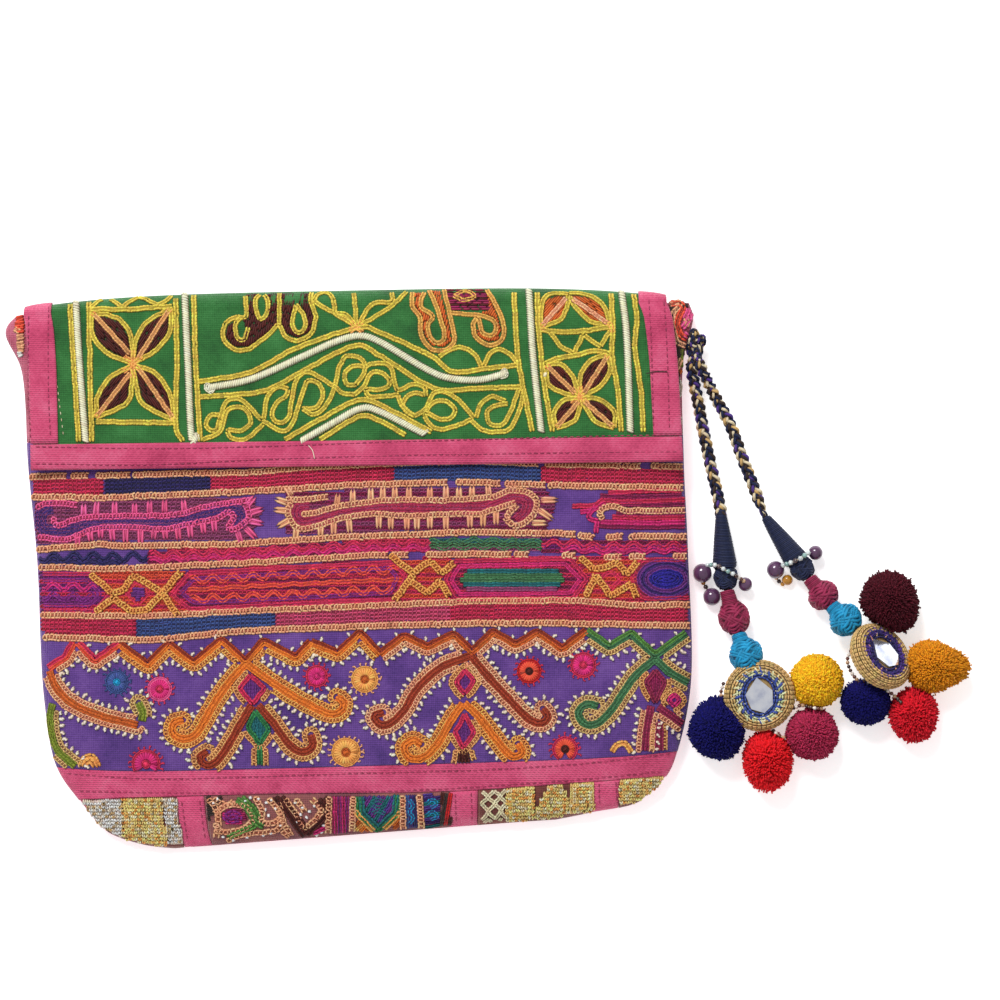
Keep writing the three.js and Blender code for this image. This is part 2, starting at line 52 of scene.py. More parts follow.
UPWARD = (0.0, 0.0, 1.0)
Point = tuple[float, float]
Point3 = tuple[float, float, float]
Array = np.ndarray
Line = Sequence[Sequence[float]] | Array
Rng = np.random.Generator
Material = bpy.types.Material
Piece = bpy.types.Object
Socket = bpy.types.NodeSocket


def linear(hex_colour: str) -> Point3:
    """The linear light of a colour as it looks on a screen.

    Args:
        hex_colour: The colour as six hexadecimal digits.

    Returns:
        Red, green and blue, each from 0 to 1.
    """
    shares = (int(hex_colour[i : i + 2], 16) / 255 for i in (0, 2, 4))
    red, green, blue = (s / 12.92 if s <= 0.04045 else ((s + 0.055) / 1.055) ** 2.4 for s in shares)
    return red, green, blue


class Dye(Enum):
    """Colours of thread and yarn."""

    AMBER = "ffa856"
    LEMON = "e2c84c"
    HONEY = "e8ae54"
    WHITE = "f6f3ee"
    MAROON = "4e120a"
    TAN = "eaa868"
    OLIVE = "7c8a26"
    RUST = "cc6020"
    RED = "c4161c"
    PEACH = "feae84"
    CRIMSON = "ce2a54"
    MAGENTA = "d02672"
    VIOLET = "7c2078"
    ROSE = "ee5a92"
    NAVY = "2c2460"
    BLUE = "3c5290"
    TEAL = "1a6a70"
    GREEN = "2a7a44"
    MOSS = "568a3c"
    PURPLE = "6c2c80"
    ORANGE = "ee7c26"
    PINK = "cc4870"
    SKY = "1790bf"
    STRAW = "d6b072"
    CREAM = "ead9b4"
    NIGHT = "1c2547"
    WINE = "92224a"
    INDIGO = "0c0a5c"
    SCARLET = "f01c26"
    PLUM = "ac2a4e"
    CARDINAL = "d4182a"
    SUN = "ffb41c"
    CLARET = "4d0a1b"
    OCHRE = "d98a14"
    MINT = "d9dcae"
    DENIM = "3c4f9a"
    LILAC = "53368c"
    SILVER = "eed8c4"
    GOLD = "ffd484"
    BERRY = "8e1850"
    SEAM = "b03a62"
    BARK = "3b2c28"
    SAND = "c9a877"
    PEARL = "f2dcc8"
    ULTRA = "2a1f92"
    SALMON = "f4ae84"
    CORAL = "ea5238"
    DUSK = "40226e"
    MILK = "eee8c8"
    BRICK = "a0381c"
    FERN = "42764c"
    MAUVE = "96426f"

    @property
    def light(self) -> Array:
        """The colour in linear light."""
        return np.array(linear(self.value))


# Finishes


class Recipe:
    """A material in the making: its Principled shader and the nodes that feed it."""

    def __init__(self, name: str) -> None:
        """Starts a material.

        Args:
            name: The material's name.
        """
        self.material = bpy.data.materials.new(name)
        self.material.use_nodes = True
        self.tree = self.material.node_tree
        self.shader = self.tree.nodes["Principled BSDF"]
        self.colour = self.shader.inputs["Base Color"]
        self.place = self.node("ShaderNodeTexCoord").outputs["Object"]

    def node(self, kind: str, **settings: object) -> bpy.types.Node:
        """Adds a node.

        Args:
            kind: The node's type name.
            **settings: Properties, or default values of inputs with underscores for blanks.

        Returns:
            The node.
        """
        made = self.tree.nodes.new(kind)
        for key, value in settings.items():
            if hasattr(made, key):
                setattr(made, key, value)
            else:
                made.inputs[key.replace("_", " ")].default_value = value
        return made

    def wire(self, output: Socket, target: Socket) -> None:
        """Links an output to an input."""
        self.tree.links.new(output, target)

    def dye(self) -> Socket:
        """The colour that the mesh carries."""
        return self.node("ShaderNodeAttribute", attribute_name="dye").outputs["Color"]

    def noise(self, scale: float, detail: float = 3.0, roughness: float = 0.6) -> Socket:
        """A cloudy pattern on the object's own coordinates.

        Args:
            scale: Clouds in a metre.
            detail: Finer octaves.
            roughness: Share of the finer octaves.

        Returns:
            The value's socket.
        """
        made = self.node("ShaderNodeTexNoise", Scale=scale, Detail=detail, Roughness=roughness)
        self.wire(self.place, made.inputs["Vector"])
        return made.outputs["Fac"]

    def bands(self, pitch: float, axis: str, wander: float = 0.0) -> Socket:
        """Even bands, such as the threads of a weave.

        Args:
            pitch: Distance between two bands in millimetres.
            axis: X, Y, Z or DIAGONAL.
            wander: How far the bands stray.

        Returns:
            The value's socket.
        """
        scale = math.pi / 10 / (pitch * MM)
        made = self.node("ShaderNodeTexWave", bands_direction=axis, Scale=scale, Distortion=wander)
        self.wire(self.place, made.inputs["Vector"])
        return made.outputs["Fac"]

    def sum(self, first: Socket, second: Socket, share: float) -> Socket:
        """A value plus a share of another.

        Args:
            first: The value.
            second: The other value.
            share: The share.

        Returns:
            The sum's socket.
        """
        made = self.node("ShaderNodeMath", operation="MULTIPLY_ADD")
        self.wire(second, made.inputs[0])
        made.inputs[1].default_value = share
        self.wire(first, made.inputs[2])
        return made.outputs[0]

    def shades(self, value: Socket, stops: Sequence[tuple[float, str]]) -> Socket:
        """Colours along a value.

        Args:
            value: What runs along the colours.
            stops: Places from 0 to 1 with their colours.

        Returns:
            The colour's socket.
        """
        ramp = self.node("ShaderNodeValToRGB")
        elements = ramp.color_ramp.elements
        while len(elements) < len(stops):
            elements.new(0.5)
        for element, (place, colour) in zip(elements, stops):
            element.position = place
            element.color = (*linear(colour), 1.0)
        self.wire(value, ramp.inputs["Fac"])
        return ramp.outputs["Color"]

    def blend(self, share: object, first: object, second: object, mode: str = "MIX") -> Socket:
        """Two colours mixed.

        Args:
            share: How much of the second, as a number or a socket.
            first: The first colour's socket or value.
            second: The second colour's socket or value.
            mode: How they mix.

        Returns:
            The colour's socket.
        """
        made = self.node("ShaderNodeMix", data_type="RGBA", blend_type=mode)
        for key, value in ((0, share), (6, first), (7, second)):
            if isinstance(value, Socket):
                self.wire(value, made.inputs[key])
            else:
                made.inputs[key].default_value = value
        return made.outputs[2]

    def relief(self, height: Socket, depth: float, strength: float = 1.0) -> None:
        """Bumps the shader.

        Args:
            height: The height's socket.
            depth: The depth of the relief in millimetres.
            strength: How much of it shows.
        """
        made = self.node("ShaderNodeBump", Strength=strength, Distance=depth * MM)
        self.wire(height, made.inputs["Height"])
        self.wire(made.outputs["Normal"], self.shader.inputs["Normal"])

    def set(self, **values: object) -> None:
        """Sets inputs of the shader, with underscores for blanks."""
        for key, value in values.items():
            self.shader.inputs[key.replace("_", " ")].default_value = value


@dataclass(frozen=True)
class ClothFinish:
    """Woven cloth: a plain or twill weave with slubs and soft fading."""

    name: str
    dark: str
    mid: str
    pale: str
    pitch: float = 0.8
    twill: bool = False
    roughness: float = 0.85
    sheen: float = 0.25

    def material(self) -> Material:
        """Makes the material.

        Returns:
            The material.
        """
        recipe = Recipe(self.name)
        clouds = recipe.noise(55, 5)
        slubs = recipe.noise(900, 2)
        patchy = recipe.sum(clouds, slubs, 0.35)
        stops = ((0.45, self.dark), (0.68, self.mid), (0.95, self.pale))
        recipe.wire(recipe.shades(patchy, stops), recipe.colour)
        across = recipe.bands(self.pitch, "DIAGONAL" if self.twill else "X", 0.6)
        weave = recipe.sum(across, recipe.bands(self.pitch, "Y", 0.6), 1.0)
        creases = recipe.sum(recipe.sum(weave, slubs, 0.8), recipe.noise(120, 3), 2.5)
        recipe.relief(creases, 0.25, 0.7)
        recipe.set(Roughness=self.roughness, Sheen_Weight=self.sheen, Specular_IOR_Level=0.25)
        return recipe.material


@dataclass(frozen=True)
class ThreadFinish:
    """Thread or yarn that carries its dye on the mesh, which on most pieces holds painted shade and light as
    well.
    """

    name: str
    roughness: float = 0.6
    sheen: float = 0.2
    fibre: float = 0.15
    metallic: float = 0.0
    mottle: float = 0.35

    def material(self) -> Material:
        """Makes the material.

        Returns:
            The material.
        """
        recipe = Recipe(self.name)
        dye = recipe.dye()
        fibres = recipe.noise(2600, 2)
        wear = recipe.shades(recipe.noise(420, 3), ((0.3, "a8a8a8"), (0.7, "ffffff")))
        wear_and_painted_light = recipe.blend(self.mottle, dye, wear, "MULTIPLY")
        recipe.wire(wear_and_painted_light, recipe.colour)
        recipe.relief(fibres, self.fibre)
        recipe.set(Roughness=self.roughness, Sheen_Weight=self.sheen)
        recipe.set(Metallic=self.metallic, Specular_IOR_Level=0.3)
        return recipe.material


@dataclass(frozen=True)
class BeadFinish:
    """Polished stone or glass beads that carry their colour on the mesh."""

    name: str
    roughness: float = 0.15

    def material(self) -> Material:
        """Makes the material.

        Returns:
            The material.
        """
        recipe = Recipe(self.name)
        dye = recipe.dye()
        veins = recipe.shades(recipe.noise(260, 6, 0.7), ((0.35, "6a6a72"), (0.6, "ffffff")))
        recipe.wire(recipe.blend(0.5, dye, veins, "MULTIPLY"), recipe.colour)
        recipe.set(Roughness=self.roughness, Coat_Weight=0.5, Coat_Roughness=0.05)
        return recipe.material


@dataclass(frozen=True)
class MirrorFinish:
    """A small hand-cut mirror, a little uneven and tarnished at its edge."""

    name: str = "old_mirror"

    def material(self) -> Material:
        """Makes the material.

        Returns:
            The material.
        """
        recipe = Recipe(self.name)
        tarnish = recipe.noise(180, 4)
        colour = recipe.shades(tarnish, ((0.3, "b9bfd8"), (0.55, "e4e7f2"), (0.8, "f4f5fa")))
        recipe.wire(colour, recipe.colour)
        recipe.relief(recipe.noise(70, 2), 0.3, 0.6)
        recipe.set(Metallic=0.85, Roughness=0.12)
        return recipe.material


@dataclass(frozen=True)
class FloorFinish:
    """A plain white table."""

    name: str = "white_table"

    def material(self) -> Material:
        """Makes the material.

        Returns:
            The material.
        """
        recipe = Recipe(self.name)
        grain = recipe.noise(30, 2)
        stops = ((0.3, "fdfdfd"), (0.7, "ffffff"))
        recipe.wire(recipe.shades(grain, stops), recipe.colour)
        recipe.set(Roughness=0.9, Specular_IOR_Level=0.1, Emission_Color=(1, 1, 1, 1), Emission_Strength=0.5)
        return recipe.material


# Meshes


def unit(vectors: Array) -> Array:
    """Vectors brought to length 1."""
    return vectors / np.maximum(np.linalg.norm(vectors, axis=-1, keepdims=True), 1e-9)


def leftward(line: Array) -> Array:
    """The direction to the left of a flat line, at each of its points."""
    along = unit(np.gradient(line, axis=0))
    return np.stack([-along[:, 1], along[:, 0]], -1)


def neighbours(fixed: Array) -> tuple[Array, ...]:
    """The four points round each gap of a row of points, with one more point past both its ends."""
    longer = np.vstack([2 * fixed[0] - fixed[1], fixed, 2 * fixed[-1] - fixed[-2]])
    return longer[:-3], longer[1:-2], longer[2:-1], longer[3:]


def hermite(first: Array, second: Array, leave: Array, arrive: Array, share: Array) -> Array:
    """Points of a cubic between two points.

    Args:
        first: Where it begins.
        second: Where it ends.
        leave: Its pull at the beginning.
        arrive: Its pull at the end.
        share: Shares of the way.

    Returns:
        The points.
    """
    square = 3 * (second - first) - 2 * leave - arrive
    cubic = 2 * (first - second) + leave + arrive
    return first + share * (leave + share * (square + share * cubic))


def curve_through(points: Sequence[Sequence[float]] | Array, step: float, smooth: bool = True) -> Array:
    """A line through points, evenly stepped.

    Args:
        points: The points, in two or three dimensions.
        step: Distance between two steps.
        smooth: Whether the line is rounded at its points, or straight between them.

    Returns:
        One row for each step, both ends included.
    """
    fixed = np.asarray(points, float)
    if smooth and len(fixed) > 2:
        before, first, second, after = (knots[:, None] for knots in neighbours(fixed))
        share = np.linspace(0, 1, 12, endpoint=False)[:, None]
        runs = hermite(first, second, (second - before) / 2, (after - first) / 2, share)
        fixed = np.vstack([runs.reshape(-1, fixed.shape[1]), fixed[-1:]])
    lengths = np.concatenate([[0], np.cumsum(np.linalg.norm(np.diff(fixed, axis=0), axis=1))])
    wanted = np.linspace(0, lengths[-1], max(1, round(lengths[-1] / step)) + 1)
    return np.stack([np.interp(wanted, lengths, column) for column in fixed.T], axis=1)


def circle(count: int) -> Array:
    """Angles of evenly spaced places round a circle."""
    return 2 * math.pi * np.arange(count) / count


def skin(steps: int, sides: int) -> Array:
    """The triangles between closed rings of points.

    Args:
        steps: How many rings.
        sides: How many points a ring has.

    Returns:
        Rows of point numbers.
    """
    first = np.arange(steps - 1)[:, None] * sides
    a, b = ((first + np.roll(np.arange(sides), turn)).ravel() for turn in (0, -1))
    return np.concatenate([np.stack([a, b, b + sides], 1), np.stack([a, b + sides, a + sides], 1)])


@dataclass
class MeshBook:
    """Gathers closed shapes in millimetres, with their dyes, and makes one piece of them."""

    name: str
    points: list[Array] = field(default_factory=list)
    triangles: list[Array] = field(default_factory=list)
    dyes: list[Array] = field(default_factory=list)
    count: int = 0

    def add(self, points: Array, triangles: Array, dyes: Array | float) -> None:
        """Adds a shape.

        Args:
            points: Its points, a row each.
            triangles: Its faces as rows of point numbers.
            dyes: A colour for each point, or one for all.
        """
        self.points.append(points)
        self.triangles.append(triangles + self.count)
        self.dyes.append(np.broadcast_to(dyes, (len(points), 3)))
        self.count += len(points)

    def copies(self, points: Array, faces: Array, dyes: Array) -> None:
        """Adds many shapes with the same faces.

        Args:
            points: Their points, shapes by points by 3.
            faces: The faces of one of them.
            dyes: A colour for each shape, or for each point of each shape.
        """
        count, corners = points.shape[:2]
        triangles = faces[None] + corners * np.arange(count)[:, None, None]
        colours = np.broadcast_to(dyes if dyes.ndim == 3 else dyes[:, None], points.shape)
        self.add(points.reshape(-1, 3), triangles.reshape(-1, 3), colours.reshape(-1, 3))

    def stitches(
        self,
        start: Array,
        end: Array,
        normal: Array,
        width: float,
        dyes: Array,
        bow: float = 0.0,
        loft: float = 0.45,
    ) -> None:
        """Adds stitches: each is a strand that leaves the cloth at its start and goes in at its end.

        Args:
            start: Where each comes out, a row each.
            end: Where each goes in.
            normal: The cloth's outward direction at each.
            width: The strand's width.
            dyes: A colour for each stitch.
            bow: How far the strand bows to its left.
            loft: The strand's height as a share of its width.
        """
        if len(start) == 0:
            return
        along = end - start
        side = unit(np.cross(normal, along))
        half = side * width / 2
        rows = [start]
        for share in (0.26, 0.74):
            middle = start + share * along + side * bow * 0.8
            rows += [middle + half, middle + normal * width * loft, middle - half]
        rows.append(end)
        faces = []
        for i, j in ((0, 1), (1, 2), (2, 0)):
            faces += [(0, 1 + j, 1 + i), (7, 4 + i, 4 + j), (1 + i, 1 + j, 4 + j), (1 + i, 4 + j, 4 + i)]
        # Painted shade and light: each stitch is darkened at its ends and sides and lightened along its top.
        wear_and_painted_light = np.array((0.5, 0.52, 1.22, 0.52, 0.52, 1.22, 0.52, 0.5))[:, None]
        self.copies(np.stack(rows, axis=1), np.asarray(faces), np.minimum(dyes[:, None] * wear_and_painted_light, 1.0))

    def tube(
        self, route: Array, radius: Array | float, dyes: Array, sides: int, normal: Array | None = None
    ) -> None:
        """Adds a round strand along a route.

        Args:
            route: The route, a row for each step.
            radius: The strand's radius, one or one for each step.
            dyes: A colour for each step, or one for all.
            sides: Faces round the strand.
            normal: The upward direction at each step, where the strand lies on cloth.
        """
        count = len(route)
        along = unit(np.gradient(route, axis=0))
        if normal is not None:
            side = unit(np.cross(along, normal))
        else:
            side = np.empty_like(route)
            first = np.cross(along[0], UPWARD)
            side[0] = unit(first if np.linalg.norm(first) > 1e-3 else np.cross(along[0], (1.0, 0.0, 0.0)))
            for i in range(1, count):
                side[i] = unit(side[i - 1] - along[i] * np.dot(side[i - 1], along[i]))
        turn = circle(sides)[None, :, None]
        ring = np.cos(turn) * side[:, None] + np.sin(turn) * np.cross(along, side)[:, None]
        points = route[:, None] + np.broadcast_to(radius, (count,))[:, None, None] * ring
        spokes = np.arange(1, sides - 1)
        near = np.stack([np.zeros_like(spokes), spokes + 1, spokes], 1)
        far = near[:, [0, 2, 1]] + (count - 1) * sides
        colours = np.repeat(dyes, sides, axis=0) if dyes.ndim == 2 else dyes
        self.add(points.reshape(-1, 3), np.concatenate([skin(count, sides), near, far]), colours)

    def seed_beads(self, centres: Array, radius: float, dyes: Array) -> None:
        """Adds small round beads.

        Args:
            centres: Their middles, a row each.
            radius: Their radius.
            dyes: A colour for each.
        """
        rings, sides = 4, 6
        rises = math.pi * np.arange(1, rings) / rings
        places = [(rise, turn) for rise in rises for turn in circle(sides)]
        body = [(math.sin(r) * math.cos(t), math.sin(r) * math.sin(t), math.cos(r)) for r, t in places]
        ball = np.array([(0, 0, 1), *body, (0, 0, -1)])
        here, last = np.arange(sides), len(ball) - 1
        after = np.roll(here, -1)
        top = np.stack([np.zeros_like(here), 1 + here, 1 + after], 1)
        foot = last - np.stack([np.zeros_like(here), sides - after, sides - here], 1)
        faces = np.concatenate([top, skin(rings - 1, sides)[:, ::-1] + 1, foot])
        self.copies(centres[:, None] + radius * ball[None], faces, dyes)

    def sheet(self, outer: Array, inner: Array) -> None:
        """Adds a closed sheet of cloth between two grids of points.

        Args:
            outer: The outer face, rows by columns by 3.
            inner: The inner face, the same.
        """
        size = outer.shape[0] * outer.shape[1]
        cells = np.arange(size).reshape(outer.shape[:2])
        a, b, c, d = cells[:-1, :-1], cells[:-1, 1:], cells[1:, 1:], cells[1:, :-1]
        over, under = (np.stack(quad, -1).reshape(-1, 4) for quad in ((a, d, c, b), (a, b, c, d)))
        rim = np.concatenate([cells[0, :-1], cells[:-1, -1], cells[-1, :0:-1], cells[:0:-1, 0]])
        after = np.roll(rim, -1)
        wall = np.stack([rim, after, after + size, rim + size], -1)
        quads = np.concatenate([over, under + size, wall])
        points = np.concatenate([outer.reshape(-1, 3), inner.reshape(-1, 3)])
        self.add(points, np.concatenate([quads[:, [0, 1, 2]], quads[:, [0, 2, 3]]]), 1.0)

    def rings(self, rings: Array, dyes: Array | float = 1.0) -> None:
        """Adds a closed body through rings of points, with both ends closed.

        Args:
            rings: The rings, steps by points by 3.
            dyes: A colour for all, where the finish reads one.
        """
        steps, count = rings.shape[:2]
        low, high, cap = 0, count - 1, []
        while low + 1 < high:
            cap.append((low + 1, low, high))
            low += 1
            if low + 1 < high:
                cap.append((low, high, high - 1))
                high -= 1
        ends = np.asarray(cap)
        triangles = np.concatenate([skin(steps, count), ends, ends[:, ::-1] + (steps - 1) * count])
        points = rings.reshape(-1, 3)
        a, b, c = (points[triangles[:, k]] - points[0] for k in range(3))
        if np.einsum("ij,ij->", np.cross(a, b), c) < 0:
            triangles = triangles[:, ::-1]
        self.add(points, triangles, dyes)

    def piece(self, finish: Material, slot: str = "", *nodes: str) -> Piece:
        """Makes one smooth piece of all that was gathered.

        Args:
            finish: The piece's material.
            slot: The record's material slot, if it has one.
            *nodes: The solids that it replaces.

        Returns:
            The piece, at the origin, with its place in its mesh.
        """
        mesh = bpy.data.meshes.new(self.name)
        mesh.from_pydata(np.concatenate(self.points) * MM, [], np.concatenate(self.triangles))
        mesh.shade_smooth()
        made = bpy.data.objects.new(self.name, mesh)
        bpy.context.scene.collection.objects.link(made)
        return settle(made, finish, np.concatenate(self.dyes), slot, *nodes)


def settle(piece: Piece, finish: Material, dyes: Array, slot: str, *nodes: str) -> Piece:
    """Dyes a piece and lets it ride on the clutch, in place of the solids that it stands for.

    Args:
        piece: The piece.
        finish: Its material.
        dyes: A colour for each of its points.
        slot: The record's material slot, if it has one; it is not used.
        *nodes: The solids that it replaces.

    Returns:
        The piece.
    """
    piece.data.materials.append(finish)
    rgba = np.column_stack([dyes, np.ones(len(dyes))])
    colour = piece.data.color_attributes.new("dye", "FLOAT_COLOR", "POINT")
    colour.data.foreach_set("color", rgba.astype(np.float32).ravel())
    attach(piece, "root")
    if nodes:
        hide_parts(*nodes)
    LOG.info("%s: %d faces", piece.name, len(piece.data.polygons))
    return piece


def hue_drift(dye: Dye, count: int, rng: Rng, spread: float = 0.12) -> Array:
    """A dye for each of many stitches, a little uneven.

    Args:
        dye: The dye.
        count: How many stitches.
        rng: The source of the unevenness.
        spread: How uneven.

    Returns:
        A colour for each stitch.
    """
    shade = 1 + spread * rng.standard_normal((count, 1))
    tint = 1 + spread * 0.3 * rng.standard_normal((count, 3))
    return np.clip(dye.light * shade * tint, 0.002, 1.0)


# The shape of the bag


@dataclass(frozen=True)
class Section:
    """A section across the pouch: both its ends, and how high the front stands in its middle."""

    left_x: float
    left_y: float
    right_x: float
    right_y: float
    rise: float


def pucker(x: Array, y: Array) -> Array:
    """The small unevenness of hand-stitched cloth, in millimetres."""
    waves = np.sin(x / 5.1 + 1.3 * np.sin(y / 7.3)) * np.sin(y / 4.3 + np.sin(x / 11.0))
    return 0.16 * waves + 0.3 * np.sin(x / 17.0 + 0.7) * np.cos(y / 13.0 - 0.4)


@dataclass
class BagShape:
    """The surfaces of the pouch and of its flap.

    On the front, u runs from -1 at the left seam to 1 at the right one, and t from 0 at the mouth to 1
    at the foot.
    """

    gap: float = 0.3
    wall: float = 2.0
    flap_cloth: float = 2.2
    patch: float = 0.9
    tape: float = 0.8
    roll: float = 14.0
    crown: float = 0.35
    seam: float = 0.35
    flat: float = 0.88
    lining_inset: float = 4.0
    hollow_end: float = 0.77
    fold_edge_reach: float = 2.8
    fold_middle_reach: float = 7.8
    flap_spread: float = 0.88
    flap_top: Point = (-139.1, 135.8)
    flap_hem: Point = (-135.4, 142.7)
    hem_row: int = 3
    sash_rows: tuple[int, int] = (6, 7)
    sash_sags: Point = (3.7, 3.0)
    foot_sag_at: float = 0.3
    foot_sag_wide: float = 0.56
    uneven: float = 0.6
    smooth_fold: float = 6.0
    least_upward: float = 0.4
    probe: float = 1e-3
    halvings: int = 24
    sections: tuple[Section, ...] = (
        Section(-143.4, 108.8, 146.8, 114.4, 11),
        Section(-148.6, 101.9, 148.6, 108.3, 13),
        Section(-141.7, 86.0, 144.3, 89.4, 15.5),
        Section(-138.3, 43.0, 144.3, 46.8, 20),
        Section(-134.4, 3.4, 146.0, 8.6, 22),
        Section(-131.4, -56.8, 147.3, -50.3, 21),
        Section(-126.2, -85.6, 141.7, -78.7, 18),
        Section(-116.8, -99.8, 137.4, -89.0, 14.5),
        Section(-106.4, -112.3, 126.2, -99.8, 10.5),
        Section(-89.7, -118.7, 103.8, -105.0, 7),
        Section(-68.2, -120.9, 82.3, -109.3, 4),
    )

    def __post_init__(self) -> None:
        """Samples the curves through the sections' ends."""
        self.ts = np.linspace(0, 1, 2001)
        self.left = self._edge([(s.left_x, s.left_y, s.rise) for s in self.sections])
        self.right = self._edge([(s.right_x, s.right_y, s.rise) for s in self.sections])

    def _edge(self, ends: Sequence[Point3]) -> Array:
        """A centripetal curve through points.

        Args:
            ends: The points.

        Returns:
            A row for each of the sampled shares.
        """
        last = len(ends) - 1
        first = np.minimum((self.ts * last).astype(int), last - 1)
        share = (self.ts * last - first)[:, None]
        p0, p1, p2, p3 = (knots[first] for knots in neighbours(np.asarray(ends, float)))
        gaps = (p1 - p0, p2 - p1, p3 - p2)
        d0, d1, d2 = (np.sqrt(np.linalg.norm(gap, axis=1))[:, None] for gap in gaps)
        leave = d1 * ((p1 - p0) / d0 - (p2 - p0) / (d0 + d1) + (p2 - p1) / d1)
        arrive = d1 * ((p2 - p1) / d1 - (p3 - p1) / (d1 + d2) + (p3 - p2) / d2)
        return hermite(p1, p2, leave, arrive, share)

    def row(self, index: float) -> float:
        """The t of a section's number."""
        return index / (len(self.sections) - 1)

    def row_below(self, t: float, distance: float) -> float:
        """The t that lies further towards the foot.

        Args:
            t: Where it starts.
            distance: How much further, in millimetres.

        Returns:
            The t.
        """
        ends = self.shell(np.zeros(2), np.array([t - self.probe, t + self.probe]), 0, True)
        return t + distance * 2 * self.probe / float(np.linalg.norm(ends[1] - ends[0]))

    def section(self, t: Array) -> tuple[Array, ...]:
        """The sections at places down the front.

        Args:
            t: The places.

        Returns:
            Their left x, left y, right x, right y and rise.
        """
        t = np.clip(t, 0, 1)
        lx, ly, rise = (np.interp(t, self.ts, self.left[:, k]) for k in range(3))
        rx, ry = (np.interp(t, self.ts, self.right[:, k]) for k in range(2))
        return lx, ly, rx, ry, rise

    def u_at(self, x: Array, t: Array) -> Array:
        """The u of an x on the section at t."""
        lx, _ly, rx, _ry, _rise = self.section(t)
        return (2 * x - lx - rx) / (rx - lx)

    def y_at(self, x: Array, t: Array) -> Array:
        """The y of an x on the section at t."""
        lx, ly, rx, ry, _rise = self.section(t)
        return ly + (ry - ly) * (x - lx) / (rx - lx)

    def swell(self, u: Array) -> Array:
        """The front's share of its rise across a section, with the seams' own height."""
        rolled = np.sqrt(np.maximum(0, 1 - np.abs(u) ** self.roll))
        return self.seam + (1 - self.seam) * ((1 - self.crown) * rolled + self.crown * (1 - u * u))

    def lifted(self, u: Array) -> Array:
        """The back's height across a section, 0 where it lies flat and 1 at the seams."""
        return np.maximum(0, (np.abs(u) - self.flat) / (1 - self.flat)) ** 2

    def shell(self, u: Array, t: Array, inset: float, front: bool) -> Array:
        """Points of the pouch's front or back.

        Args:
            u: Places across.
            t: Places down.
            inset: 0 on the outside, 1 in the hollow.
            front: Whether it is the front.

        Returns:
            A row for each point.
        """
        lx, _ly, rx, _ry, rise = self.section(t)
        x = (lx + rx) / 2 + ((rx - lx) / 2 - inset * self.lining_inset) * u
        share = self.swell(u) if front else self.seam * self.lifted(u)
        return np.stack([x, self.y_at(x, t), inset * self.wall + (rise - 2 * self.wall * inset) * share], -1)

    def raised(self, u: Array, t: Array, height: float) -> Array:
        """Points above the front, along its own normal.

        Args:
            u: Places across.
            t: Places down.
            height: How far above the pouch.

        Returns:
            A row for each point.
        """
        u, t = np.broadcast_arrays(u, t)
        step = self.probe
        across = self.shell(u + step, t, 0, True) - self.shell(u - step, t, 0, True)
        above, below = np.maximum(t - step, 0), np.minimum(t + step, 1)
        down = self.shell(u, below, 0, True) - self.shell(u, above, 0, True)
        return self.shell(u, t, 0, True) + unit(np.cross(down, across)) * height

    def place(self, x: Array, y: Array) -> tuple[Array, Array]:
        """Where a point seen from above lies on the front.

        Args:
            x: Across the bag.
            y: From the foot to the fold.

        Returns:
            u and t.
        """
        low, high = np.zeros_like(x), np.ones_like(x)
        for _ in range(self.halvings):
            t = (low + high) / 2
            below = self.y_at(x, t) > y
            low, high = np.where(below, t, low), np.where(below, high, t)
        return np.clip(self.u_at(x, t), -1, 1), t

    def front_height(self, x: Array, y: Array) -> Array:
        """The height of the cloth on the front, at points seen from above.

        Args:
            x: Across the bag.
            y: From the foot to the fold.

        Returns:
            The height of each point.
        """
        u, t = self.place(x, y)
        cloth = self.gap + self.patch
        under = self.shell(u, t, 0, True)[..., 2]
        upward = (self.raised(u, t, cloth)[..., 2] - under) / cloth
        return under + cloth / np.maximum(upward, self.least_upward) + self.uneven * pucker(x, y)

    def flap_top_height(self, u: Array, rise: Array) -> Array:
        """The height of the flap's outer face over a section."""
        return rise * self.swell(self.flap_spread * u) + self.patch + 2 * self.gap + self.flap_cloth

    def fold_reach(self, share: Array) -> Array:
        """How far the fold stands out beyond the mouth, at a share across the flap."""
        away = (2 * share - 1) ** 4
        return self.fold_middle_reach + (self.fold_edge_reach - self.fold_middle_reach) * away

    def fold_above(self, x: Array) -> Array:
        """How far the fold stands out beyond the mouth, at an x."""
        return self.fold_reach(np.clip((x - self.flap_top[0]) / (self.flap_top[1] - self.flap_top[0]), 0, 1))

    def flap_height(self, x: Array, y: Array) -> Array:
        """The height of the flap and of its fold, at points seen from above.

        Args:
            x: Across the bag.
            y: From the foot to the fold.

        Returns:
            The height of each point.
        """
        u, t = self.place(x, y)
        top = self.flap_top_height(u, self.section(t)[-1])
        over = np.clip((y - (self.y_at(x, t) + self.gap)) / self.fold_above(x), 0, 0.999)
        fade = np.minimum(1, self.smooth_fold * t / self.row(self.hem_row))
        return top / 2 * (1 + np.sqrt(1 - over**2)) + self.uneven * pucker(x, y) * fade

    def flap(self, a: Array, s: Array, height: Array | float) -> Array:
        """Points of the flap.

        Args:
            a: From 0 at its left edge to 1 at its right one.
            s: From -1 at its root on the back, through 0 at the top of the fold, to 1 at the hem.
            height: How far above its outer face.

        Returns:
            A row for each point.
        """
        a, s, height = np.broadcast_arrays(a, s, height)
        share = np.maximum(s, 0)
        t = share * self.row(self.hem_row)
        left, right = (top + (hem - top) * share for top, hem in zip(self.flap_top, self.flap_hem))
        x = left + (right - left) * a
        y = self.y_at(x, t) + self.gap * (1 - share)
        top = self.flap_top_height(self.u_at(x, t), self.section(t)[-1])
        turn = np.minimum(s, 0) * -math.pi
        y = np.where(s < 0, y + (self.fold_reach(a) + height) * np.sin(turn), y)
        z = np.where(s < 0, top / 2 + (top / 2 + height) * np.cos(turn), top + height)
        return np.stack([x, y, z], -1)

